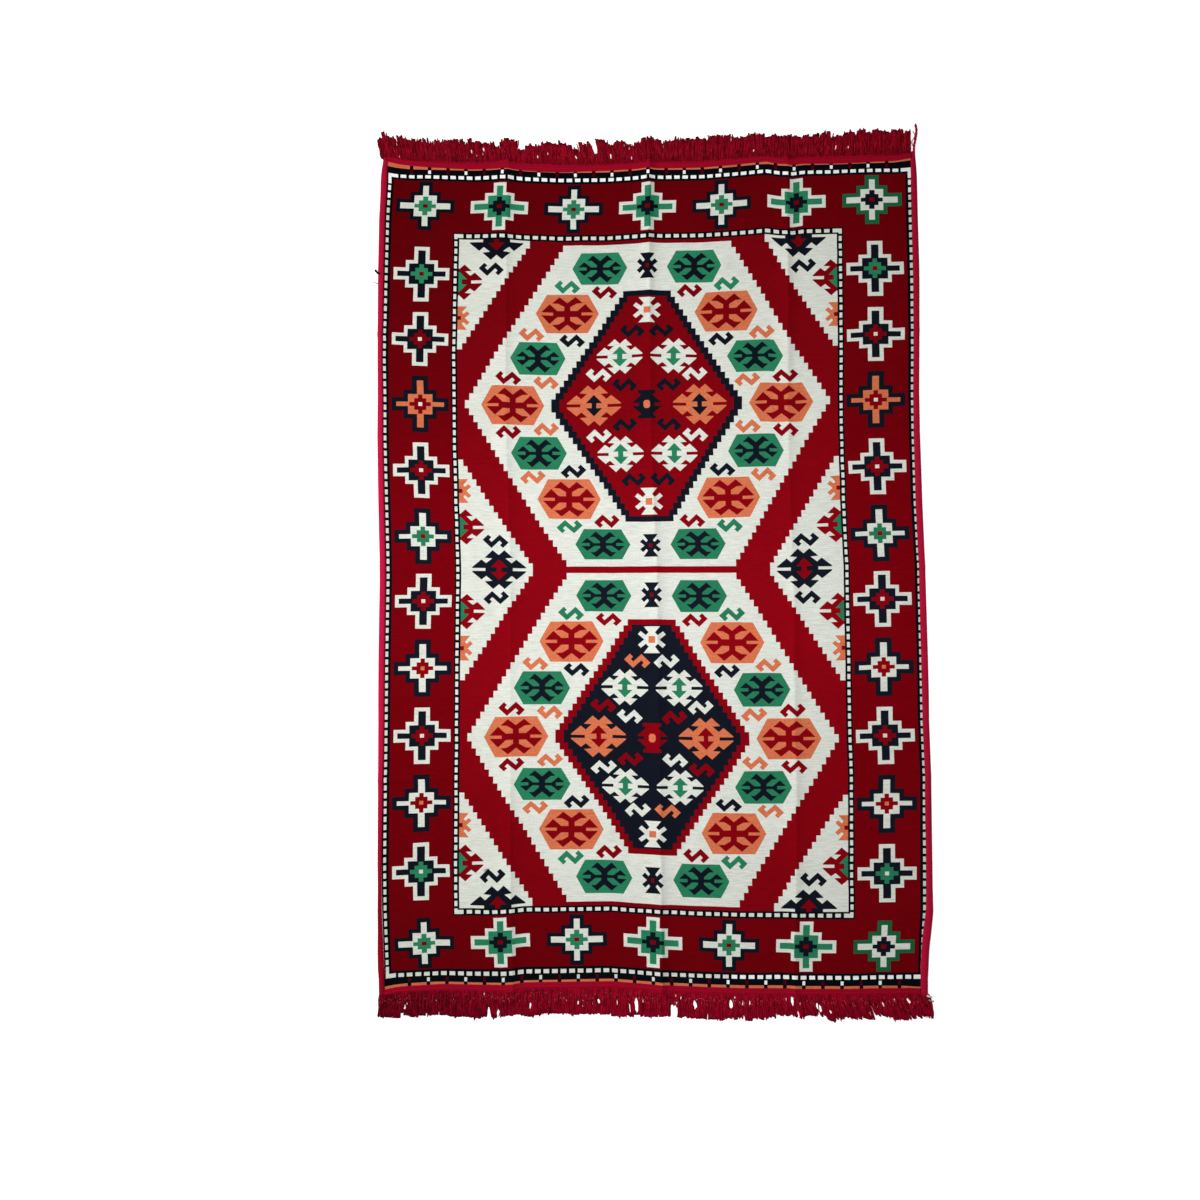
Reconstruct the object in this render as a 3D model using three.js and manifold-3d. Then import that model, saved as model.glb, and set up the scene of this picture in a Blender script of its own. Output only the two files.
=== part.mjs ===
// A flat-woven kilim rug, lying open on a floor. Millimetres, +Z up, +Y towards the rug's top end.
// The cloth is one thin sheet with the soft creases of a rug that was stored folded. An overcast yarn
// binding runs along each side, and a fringe tape with cut strands is sewn over each end.

import * as THREE from 'three';
import Module from 'manifold-3d';
import { mergeVertices } from 'three/addons/utils/BufferGeometryUtils.js';

const wasm = await Module();
wasm.setup();

// Driving sizes. u runs across the flat cloth and v along it, both from the pattern's middle.
const CLOTH = { halfWidth: 597.5, halfLength: 928, thickness: 2 };
const RING = { halfWidth: 581.5, halfLength: 888 };
const STRAIGHT_END = 880;
const SEWING_GAP = 0.3;
const TAPE_GAP = 0.4;

// Lengthwise creases: where the crest lies, how much it leans over the rug's length, its height at the
// rug's middle and at its ends, and how far its flanks reach.
const LENGTH_CREASES = [
  { name: 'left quarter', at: -316, lean: -0.004, middle: 5, end: 8, reach: 40, phase: 0.4 },
  { name: 'centre', at: 10, lean: -0.009, middle: 6, end: 10, reach: 40, phase: 2.1 },
  { name: 'right quarter', at: 313, lean: 0.002, middle: 4.5, end: 6.5, reach: 40, phase: 4.0 },
];
// Crosswise creases are strongest at the side edges and die out inwards.
const CROSS_CREASES = [
  { name: 'upper', at: 530, left: 6, right: 3, fade: 80, reach: 30 },
  { name: 'middle', at: 2, left: 4, right: 2.5, fade: 110, reach: 30 },
  { name: 'lower', at: -468, left: 5, right: 1.5, fade: 120, reach: 30 },
];
const CREASE_SHARPNESS = 2.4;
const CREASE_WAVE = { share: 0.15, length: 150 };

// How far the rug's outline bulges out of a true rectangle, along its sides and along its ends.
const SIDE_BOW = [
  { v: -888, left: -4, right: -2.5 },
  { v: -820, left: -1, right: 0 },
  { v: -750, left: 2, right: 5 },
  { v: -650, left: 3.5, right: 6.5 },
  { v: -460, left: 2.5, right: 9 },
  { v: -340, left: 1.5, right: 6 },
  { v: -200, left: 1, right: 6 },
  { v: 0, left: -1.5, right: 4.5 },
  { v: 150, left: 3, right: -1 },
  { v: 300, left: 7.5, right: -3 },
  { v: 390, left: 8, right: -3 },
  { v: 480, left: 10, right: -1 },
  { v: 640, left: 7, right: 0 },
  { v: 800, left: 3.5, right: -1.5 },
  { v: 888, left: -1.5, right: -1.5 },
];
const END_BOW = [
  { u: -597, top: 6, bottom: 4 },
  { u: -560, top: 4, bottom: 0.5 },
  { u: -470, top: 1, bottom: -3 },
  { u: -400, top: -2, bottom: -1 },
  { u: -335, top: 0.5, bottom: 0 },
  { u: -285, top: -4.5, bottom: -5.5 },
  { u: -203, top: -9.5, bottom: -7 },
  { u: -95, top: -10, bottom: -9.5 },
  { u: -15, top: -5.5, bottom: -3.5 },
  { u: 50, top: -5.5, bottom: 0 },
  { u: 120, top: -5.5, bottom: 3 },
  { u: 195, top: -0.5, bottom: 5 },
  { u: 267, top: 6, bottom: 5 },
  { u: 300, top: 0, bottom: 5 },
  { u: 325, top: -2.5, bottom: 6.5 },
  { u: 350, top: 1.5, bottom: 6.5 },
  { u: 430, top: 2, bottom: 7 },
  { u: 500, top: 4, bottom: 5.5 },
  { u: 560, top: 3, bottom: 4.5 },
  { u: 597, top: 5.5, bottom: 4.5 },
];

// The side bindings: the roll's size, and where its outer edge and the cloth's right edge lie, as
// distances from the middle line. Near the bottom corner the right roll laps in over the cloth's margin.
const BINDING = { height: 4.6, seat: 0.4, sides: 10, halfLength: 933 };
const BINDING_EDGE = [
  { v: -933, outLeft: 605, outRight: 601, clothRight: 585.5 },
  { v: -900, outLeft: 608, outRight: 603, clothRight: 586 },
  { v: -880, outLeft: 611, outRight: 604.5, clothRight: 586 },
  { v: -840, outLeft: 610, outRight: 606, clothRight: 587 },
  { v: -800, outLeft: 608, outRight: 609.5, clothRight: 590 },
  { v: -760, outLeft: 607, outRight: 611, clothRight: 595 },
  { v: -700, outLeft: 606, outRight: 609.5, clothRight: 597.5 },
  { v: -468, outLeft: 607.5, outRight: 607, clothRight: 597.5 },
  { v: -280, outLeft: 609, outRight: 608, clothRight: 597.5 },
  { v: 0, outLeft: 609, outRight: 606.5, clothRight: 597.5 },
  { v: 160, outLeft: 608.5, outRight: 608, clothRight: 597.5 },
  { v: 300, outLeft: 607, outRight: 607, clothRight: 597.5 },
  { v: 480, outLeft: 605, outRight: 607.5, clothRight: 597.5 },
  { v: 680, outLeft: 609, outRight: 610, clothRight: 597.5 },
  { v: 880, outLeft: 610, outRight: 608.5, clothRight: 597.5 },
  { v: 933, outLeft: 604, outRight: 605, clothRight: 597.5 },
];
// The loose tail of the right binding's yarn, as points past the top right corner.
const TAIL = { width: 6, height: 5, sides: 4 };
const TAIL_ROUTE = [
  { x: 600.5, y: 926 },
  { x: 600.5, y: 944 },
  { x: 601, y: 956 },
  { x: 603.5, y: 968 },
  { x: 606, y: 982 },
  { x: 607, y: 993 },
  { x: 604.5, y: 1008 },
];

// The fringe tape: its lap over the cloth shows the cloth's end stripe most at the corners.
const TAPE = { outer: 937, inset: 0.3, lipLow: 3.5, high: 4.4, outLow: 3.8, crown: 5 };
const TAPE_LAP = [
  { u: -597, top: 927, bottom: 921 },
  { u: -560, top: 924, bottom: 919 },
  { u: -500, top: 920, bottom: 919 },
  { u: -400, top: 917.5, bottom: 918 },
  { u: 0, top: 918, bottom: 918.5 },
  { u: 250, top: 919, bottom: 919 },
  { u: 400, top: 917.5, bottom: 919 },
  { u: 500, top: 919, bottom: 919.5 },
  { u: 597, top: 927, bottom: 920 },
];
// The strands: three-sided locks, how far each tip leans sideways, and how far their tips reach.
const STRAND = { count: 128, rootWidth: 7.2, tipWidth: 3.6, height: 3, tipHeight: 1.8, root: 4, lift: 0.3 };
const STRAND_STEPS = [
  { along: 0, width: 0.8, lean: 0, settled: 0 },
  { along: 0.42, width: 1, lean: 0.36, settled: 0.75 },
  { along: 1, width: 0, lean: 1, settled: 1 },
];
const STRAND_TIPS = [
  { u: -597, leanTop: -20, leanBottom: -13, reachTop: 987, reachBottom: 981 },
  { u: -560, leanTop: -7, leanBottom: -4, reachTop: 986, reachBottom: 984 },
  { u: -440, leanTop: -3, leanBottom: 0, reachTop: 985, reachBottom: 988 },
  { u: -350, leanTop: -2, leanBottom: 0, reachTop: 979, reachBottom: 987 },
  { u: -270, leanTop: -3, leanBottom: 0, reachTop: 973, reachBottom: 990 },
  { u: -190, leanTop: -8, leanBottom: 0, reachTop: 984, reachBottom: 991 },
  { u: -100, leanTop: -10, leanBottom: 1, reachTop: 983, reachBottom: 990 },
  { u: -20, leanTop: -3, leanBottom: -2, reachTop: 980, reachBottom: 991 },
  { u: 60, leanTop: 0, leanBottom: -2, reachTop: 982, reachBottom: 989 },
  { u: 180, leanTop: 3, leanBottom: 2, reachTop: 984, reachBottom: 987 },
  { u: 330, leanTop: 5, leanBottom: 10, reachTop: 984, reachBottom: 983 },
  { u: 450, leanTop: 4, leanBottom: 19, reachTop: 985, reachBottom: 986 },
  { u: 560, leanTop: 3, leanBottom: 23, reachTop: 989, reachBottom: 989 },
  { u: 597, leanTop: 2, leanBottom: 26, reachTop: 984, reachBottom: 982 },
];
const RAGGED = { reach: 5, side: 1.2 };

// Grid lines of the sheet: near each crease, and evenly between them.
const CREASE_OFFSETS = [-40, -18, -6, 0, 6, 18, 40];
const CROSS_OFFSETS = [-30, -10, 0, 10, 30];
const LEFT_COLUMNS = [0, 40, 100, 170];
const RIGHT_COLUMNS = [-170, -100, -40, 0];
const BETWEEN_COLUMNS = [100, 165, 230];
const BETWEEN_ROWS = [-900, -880, -820, -740, -650, -560, -330, -200, -100, 100, 200, 300, 400,
  620, 700, 800, 880, 900];

const ends = { top: 1, bottom: -1 };

/** Straight-line reading of a table's column at a place along its key column. */
function readTable(table, key, column, at) {
  if (at <= table[0][key]) return table[0][column];
  for (let i = 1; i < table.length; i += 1) {
    const [a, b] = [table[i - 1], table[i]];
    if (at <= b[key]) {
      const t = (at - a[key]) / (b[key] - a[key]);
      return a[column] + (b[column] - a[column]) * t;
    }
  }
  return table[table.length - 1][column];
}

/** Repeatable scatter between -1 and 1 for strand number i. */
function scatter(i, salt) {
  const wave = Math.sin(i * 12.9898 + salt * 78.233) * 43758.5453;
  return 2 * (wave - Math.floor(wave)) - 1;
}

/** Height share of a crease at distance d from its crest: a sharp crest with soft flanks. */
function creaseShape(d, reach) {
  return Math.max(0, 1 - Math.abs(d) / reach) ** CREASE_SHARPNESS;
}

/** The length coordinate, held still where the end pieces are sewn on. */
function heldLength(v) {
  return THREE.MathUtils.clamp(v, -STRAIGHT_END, STRAIGHT_END);
}

/** Where crest number i crosses the length v. */
function crestAt(i, v) {
  return LENGTH_CREASES[i].at + LENGTH_CREASES[i].lean * heldLength(v);
}

/** Height of the cloth's underside over the floor. */
function liftAt(u, v) {
  const held = heldLength(v);
  let lift = 0;
  LENGTH_CREASES.forEach((crease, i) => {
    const grown = crease.middle + (crease.end - crease.middle) * (held / STRAIGHT_END) ** 2;
    const wave = 1 + CREASE_WAVE.share * Math.sin(held / CREASE_WAVE.length + crease.phase);
    lift += grown * wave * creaseShape(u - crestAt(i, v), crease.reach);
  });
  CROSS_CREASES.forEach((crease) => {
    const left = crease.left * Math.exp(-(u + CLOTH.halfWidth) / crease.fade);
    const right = crease.right * Math.exp(-(CLOTH.halfWidth - u) / crease.fade);
    const strength = Math.max(0, left + right - 0.1);
    lift += strength * creaseShape(v - crease.at, crease.reach);
  });
  return lift;
}

/** A point of the flat cloth, moved into the rug's bowed outline and lifted over its creases. */
function lay(u, v, height) {
  const held = heldLength(v);
  const across = (u + RING.halfWidth) / (2 * RING.halfWidth);
  const left = readTable(SIDE_BOW, 'v', 'left', held);
  const right = readTable(SIDE_BOW, 'v', 'right', held);
  const top = readTable(END_BOW, 'u', 'top', u);
  const bottom = readTable(END_BOW, 'u', 'bottom', u);
  const bow = v > 0 ? top : -bottom;
  const share = Math.min(1, Math.abs(v) / RING.halfLength);
  return new THREE.Vector3(u - left * (1 - across) + right * across, v + bow * share, height);
}

/** How far the cloth reaches from the middle line on one side. side is -1 or 1. */
function clothEdge(side, v) {
  return side > 0 ? readTable(BINDING_EDGE, 'v', 'clothRight', v) : CLOTH.halfWidth;
}

/** The grid's column lines at length v, from the left edge to the right one. */
function columnsAt(v) {
  const creased = LENGTH_CREASES.flatMap((crease, i) => {
    const near = CREASE_OFFSETS.map((offset) => crestAt(i, v) + offset);
    const between = BETWEEN_COLUMNS.map((offset) => crestAt(i, v) + offset);
    return i < LENGTH_CREASES.length - 1 ? [...near, ...between] : near;
  });
  const left = LEFT_COLUMNS.map((offset) => -CLOTH.halfWidth + offset);
  const right = RIGHT_COLUMNS.map((offset) => clothEdge(1, v) + offset);
  return [...left, ...creased, ...right];
}

/** The grid's row lines, from the bottom end to the top one. */
function rowLines() {
  const creased = CROSS_CREASES.flatMap((crease) => CROSS_OFFSETS.map((offset) => crease.at + offset));
  const rows = [-CLOTH.halfLength, ...BETWEEN_ROWS, ...creased, CLOTH.halfLength];
  return rows.sort((a, b) => a - b);
}

/** Only the shared corner positions of a geometry, so that it is one closed surface. */
function closedSurface(geometry) {
  geometry.deleteAttribute('normal');
  geometry.deleteAttribute('uv');
  return mergeVertices(geometry, 1e-4);
}

/** Moves every corner of a geometry to where place(point) puts it. */
function reshape(geometry, place) {
  const closed = closedSurface(geometry);
  const position = closed.getAttribute('position');
  const point = new THREE.Vector3();
  for (let i = 0; i < position.count; i += 1) {
    point.fromBufferAttribute(position, i);
    const moved = place(point);
    position.setXYZ(i, moved.x, moved.y, moved.z);
  }
  return closed;
}

/** A closed geometry as a solid for joining. */
function toSolid(geometry) {
  const vertProperties = new Float32Array(geometry.getAttribute('position').array);
  const triVerts = new Uint32Array(geometry.getIndex().array);
  return new wasm.Manifold(new wasm.Mesh({ numProp: 3, vertProperties, triVerts }));
}

/** A joined solid back as a geometry. */
function fromSolid(solid) {
  const mesh = solid.getMesh();
  const geometry = new THREE.BufferGeometry();
  geometry.setAttribute('position', new THREE.BufferAttribute(new Float32Array(mesh.vertProperties), 3));
  geometry.setIndex(new THREE.BufferAttribute(new Uint32Array(mesh.triVerts), 1));
  return geometry;
}

/** The patterned cloth: a thin box on the grid's lines, laid over the creases. */
function clothGeometry() {
  const rows = rowLines();
  const columnCount = columnsAt(0).length;
  const box = new THREE.BoxGeometry(1, 1, 1, columnCount - 1, rows.length - 1, 1);
  return reshape(box, (point) => {
    const v = rows[Math.round((point.y + 0.5) * (rows.length - 1))];
    const u = columnsAt(v)[Math.round((point.x + 0.5) * (columnCount - 1))];
    const over = point.z > 0 ? CLOTH.thickness : 0;
    return lay(u, v, liftAt(u, v) + over);
  });
}

/** One side binding: a flat-bottomed yarn roll swept along the cloth's edge. side is -1 or 1. */
function bindingGeometry(side) {
  const rows = rowLines().filter((v) => Math.abs(v) < CLOTH.halfLength);
  rows.unshift(-BINDING.halfLength);
  rows.push(BINDING.halfLength);
  const roll = new THREE.CylinderGeometry(1, 1, 1, BINDING.sides, rows.length - 1);
  return reshape(roll, (point) => {
    const v = rows[Math.round((point.y + 0.5) * (rows.length - 1))];
    const inner = clothEdge(side, v) + SEWING_GAP;
    const outer = readTable(BINDING_EDGE, 'v', side > 0 ? 'outRight' : 'outLeft', v);
    const round = Math.max(0, BINDING.height * (BINDING.seat + (1 - BINDING.seat) * point.z));
    const placed = lay(side * (inner + outer) / 2, v, liftAt(side * clothEdge(side, v), v) + round);
    placed.x += point.x * (outer - inner) / 2;
    return placed;
  });
}

/** A short yarn end that follows a route of points on the floor. */
function tailGeometry() {
  const yarn = new THREE.CylinderGeometry(1, 1, 1, TAIL.sides, TAIL_ROUTE.length - 1);
  yarn.rotateY(Math.PI / TAIL.sides);
  return reshape(yarn, (point) => {
    const step = Math.round((point.y + 0.5) * (TAIL_ROUTE.length - 1));
    const at = TAIL_ROUTE[step];
    const corner = Math.SQRT1_2;
    const z = TAIL.height * (0.5 + (point.z / corner) / 2);
    return new THREE.Vector3(at.x + (point.x / corner) * TAIL.width / 2, at.y, z);
  });
}

/** The fringe tape's body: it laps over the cloth's end and comes down to the floor beyond it. */
function tapeGeometry(end) {
  const sign = ends[end];
  const columns = columnsAt(sign * CLOTH.halfLength);
  const under = CLOTH.thickness + TAPE_GAP;
  const step = CLOTH.halfLength + TAPE_GAP;
  const first = -CLOTH.halfWidth + TAPE.inset;
  const last = clothEdge(1, sign * CLOTH.halfLength) - TAPE.inset;
  const box = new THREE.BoxGeometry(1, 1, 1, columns.length - 1, 3, 1);
  return reshape(box, (point) => {
    const u = THREE.MathUtils.clamp(columns[Math.round((point.x + 0.5) * (columns.length - 1))], first, last);
    const row = Math.round((point.y + 0.5) * 3);
    const lap = readTable(TAPE_LAP, 'u', end, u);
    const lower = [
      { v: lap, z: under },
      { v: step, z: under },
      { v: step + 0.1, z: 0 },
      { v: TAPE.outer, z: 0 },
    ];
    const upper = [
      { v: lap, z: TAPE.lipLow },
      { v: step - TAPE.crown / 2, z: TAPE.high },
      { v: step + TAPE.crown / 2, z: TAPE.high },
      { v: TAPE.outer, z: TAPE.outLow },
    ];
    // The box's rows run upwards in y, so the bottom end takes them in reverse.
    const corner = (point.z > 0 ? upper : lower)[sign > 0 ? row : 3 - row];
    return lay(u, sign * corner.v, liftAt(u, sign * CLOTH.halfLength) + corner.z);
  });
}

/** One cut strand of the fringe, as a three-sided lock that settles level on the floor. */
function strandGeometry(end, i) {
  const sign = ends[end];
  const name = end === 'top' ? 'Top' : 'Bottom';
  const first = -CLOTH.halfWidth + TAPE.inset + STRAND.rootWidth / 2;
  const last = clothEdge(1, sign * CLOTH.halfLength) - TAPE.inset - STRAND.rootWidth / 2;
  const u = first + (last - first) * i / (STRAND.count - 1);
  const lean = readTable(STRAND_TIPS, 'u', `lean${name}`, u) + RAGGED.side * scatter(i, sign);
  const tip = readTable(STRAND_TIPS, 'u', `reach${name}`, u) + RAGGED.reach * scatter(i, sign + 5);
  const lift = liftAt(u, sign * CLOTH.halfLength);
  const lock = new THREE.CylinderGeometry(1, 1, 1, 3, STRAND_STEPS.length - 1);
  return reshape(lock, (point) => {
    const step = STRAND_STEPS[Math.round((point.y + 0.5) * (STRAND_STEPS.length - 1))];
    const root = TAPE.outer - STRAND.root;
    const width = STRAND.tipWidth + (STRAND.rootWidth - STRAND.tipWidth) * step.width;
    const height = STRAND.tipHeight + (STRAND.height - STRAND.tipHeight) * step.width;
    const along = root + (tip - root) * step.along;
    const start = lay(u, sign * root, 0);
    const z = (lift + STRAND.lift) * (1 - step.settled) + height * (point.z + 0.5) / 1.5;
    const wide = sign * width * point.x / Math.sqrt(3);
    return new THREE.Vector3(start.x + lean * step.lean + wide, start.y + sign * (along - root), z);
  });
}

/** The tape and its strands, joined at the roots. */
function fringeGeometry(end) {
  let solid = toSolid(tapeGeometry(end));
  for (let i = 0; i < STRAND.count; i += 1) {
    solid = solid.add(toSolid(strandGeometry(end, i)));
  }
  return fromSolid(solid);
}

/** The right binding with its loose yarn tail. */
function rightBindingGeometry() {
  return fromSolid(toSolid(bindingGeometry(1)).add(toSolid(tailGeometry())));
}

/** A named piece of the rug in its own yarn colour. */
function piece(name, geometry, color, roughness) {
  const material = new THREE.MeshStandardMaterial({ color, roughness, metalness: 0 });
  const mesh = new THREE.Mesh(geometry, material);
  mesh.name = name;
  return mesh;
}

const rug = new THREE.Group();
rug.name = 'kilim_rug';
rug.add(piece('woven_cloth', clothGeometry(), 0x7c0012, 0.95));
rug.add(piece('side_binding_left', bindingGeometry(-1), 0xb8143a, 0.85));
rug.add(piece('side_binding_right', rightBindingGeometry(), 0xb8143a, 0.85));
rug.add(piece('fringe_top', fringeGeometry('top'), 0x8f0620, 0.9));
rug.add(piece('fringe_bottom', fringeGeometry('bottom'), 0x8f0620, 0.9));

// The rug's own frame has its origin under the middle of its box, on the floor.
const box = new THREE.Box3().setFromObject(rug);
const middle = box.getCenter(new THREE.Vector3());
rug.position.set(-middle.x, -middle.y, -box.min.z);
rug.updateMatrixWorld(true);

export default rug;
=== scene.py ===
"""A kilim rug lying open on a pale floor, seen from above.

Lengths are millimetres on the flat cloth: u runs across it and v along it, both from the middle of its
pattern. RugSurface lays them out on the floor, in metres.
"""

import logging
import math
import random
from bisect import bisect_left
from collections.abc import Callable, Sequence
from dataclasses import dataclass, field
from enum import Enum
from functools import cached_property
from operator import itemgetter
from typing import Any, NamedTuple

import bmesh
import bpy
from mathutils import Euler, Matrix, Vector, noise
from mathutils.geometry import delaunay_2d_cdt


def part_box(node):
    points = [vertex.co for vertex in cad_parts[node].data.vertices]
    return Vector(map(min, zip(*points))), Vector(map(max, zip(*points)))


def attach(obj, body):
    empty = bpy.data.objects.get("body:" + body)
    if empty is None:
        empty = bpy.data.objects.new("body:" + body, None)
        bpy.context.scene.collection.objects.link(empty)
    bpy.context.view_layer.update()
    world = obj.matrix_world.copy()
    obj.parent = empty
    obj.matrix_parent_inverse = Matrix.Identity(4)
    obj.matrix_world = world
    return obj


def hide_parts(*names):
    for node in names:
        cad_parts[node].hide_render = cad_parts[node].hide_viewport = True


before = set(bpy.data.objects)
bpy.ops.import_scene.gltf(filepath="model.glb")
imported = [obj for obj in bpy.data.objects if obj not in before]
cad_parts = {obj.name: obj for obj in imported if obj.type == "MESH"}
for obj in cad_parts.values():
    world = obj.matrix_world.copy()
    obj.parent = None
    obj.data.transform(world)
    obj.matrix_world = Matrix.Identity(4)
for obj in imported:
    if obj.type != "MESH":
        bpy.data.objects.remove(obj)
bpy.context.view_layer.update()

MM = 0.001
Point = tuple[float, float]
log = logging.getLogger("kilim_rug")


class Dye(NamedTuple):
    """A yarn's colour, as shares of 255, how blotchy the dye took, and how much it takes of the cloth's painted
    light and shade, from 0 to 1; below 0 it is lightened where others are darkened.
    """

    red: int
    green: int
    blue: int
    blotch: float = 0.0
    painted_light_share: float = 1.0

    def linear(self) -> tuple[float, float, float]:
        """The colour as the linear shares that Blender's colours are."""
        shares = (channel / 255 for channel in (self.red, self.green, self.blue))
        return tuple(s / 12.92 if s <= 0.04045 else ((s + 0.055) / 1.055) ** 2.4 for s in shares)


class Yarn(Enum):
    """The weaver's yarns."""

    FIELD_RED = Dye(139, 4, 18)
    BORDER_RED = Dye(122, 1, 13)
    TICK_RED = Dye(100, 0, 10)
    WHITE = Dye(254, 254, 254, 0.0, 0.0)
    CREAM = Dye(225, 227, 219, 0.15, 0.15)
    DULL_CREAM = Dye(218, 222, 210, 0.3, 0.15)
    ORANGE = Dye(218, 117, 80, 1.0, 0.3)
    STRIPE_ORANGE = Dye(220, 112, 76, 0.6, 0.2)
    GREEN = Dye(41, 125, 90, 0.7, -0.3)
    DEEP_GREEN = Dye(25, 98, 64, 0.7, -0.2)
    NAVY = Dye(20, 24, 36)
    BLACK = Dye(9, 14, 23)


class End(Enum):
    """The rug's two ends, as the sign of v."""

    TOP = 1
    BOTTOM = -1


class Side(Enum):
    """The rug's two sides, as the sign of u."""

    LEFT = -1
    RIGHT = 1


class SideBow(NamedTuple):
    """How far the outline bulges out at one place along the sides."""

    v: float
    left: float
    right: float


class EndBow(NamedTuple):
    """How far the outline bulges out at one place across the ends."""

    u: float
    top: float
    bottom: float


class EdgeRow(NamedTuple):
    """Where the bindings' outer edges and the cloth's right edge lie at one place along the rug."""

    v: float
    left: float
    right: float
    cloth_right: float


class Slip(NamedTuple):
    """How far the weaving has slipped towards the top, at one place along the rug."""

    v: float
    edge: float
    left: float
    middle: float
    right: float


class Knot(NamedTuple):
    """A value at one place across the rug."""

    u: float
    value: float


class PaintedLightRow(NamedTuple):
    """Painted light and shade in the cloth's colours, on the left and the right, at one place along the rug: below 1
    a dye is darkened as painted shade where the lamps' light falls off towards the ends and sides, above 1 it is
    lightened as painted light.
    """

    v: float
    left: float
    right: float


class LengthCrease(NamedTuple):
    """A crease along the rug: its crest's place and lean, its heights, and its flanks' reach."""

    at: float
    lean: float
    middle: float
    end: float
    reach: float
    phase: float


class CrossCrease(NamedTuple):
    """A crease across the rug that dies out inwards from both sides."""

    at: float
    left: float
    right: float
    fade: float
    reach: float


def read(rows: Sequence[NamedTuple], at: float, column: str) -> float:
    """Straight-line reading of a table's column.

    Args:
        rows: the table, in the order of its first column.
        at: the place to read, in the first column's terms.
        column: the name of the column.

    Returns:
        The column's value at that place, held still past the table's ends.
    """
    after = min(max(bisect_left(rows, at, key=itemgetter(0)), 1), len(rows) - 1)
    low, high = rows[after - 1], rows[after]
    share = min(max((at - low[0]) / (high[0] - low[0]), 0.0), 1.0)
    return getattr(low, column) * (1 - share) + getattr(high, column) * share


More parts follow.
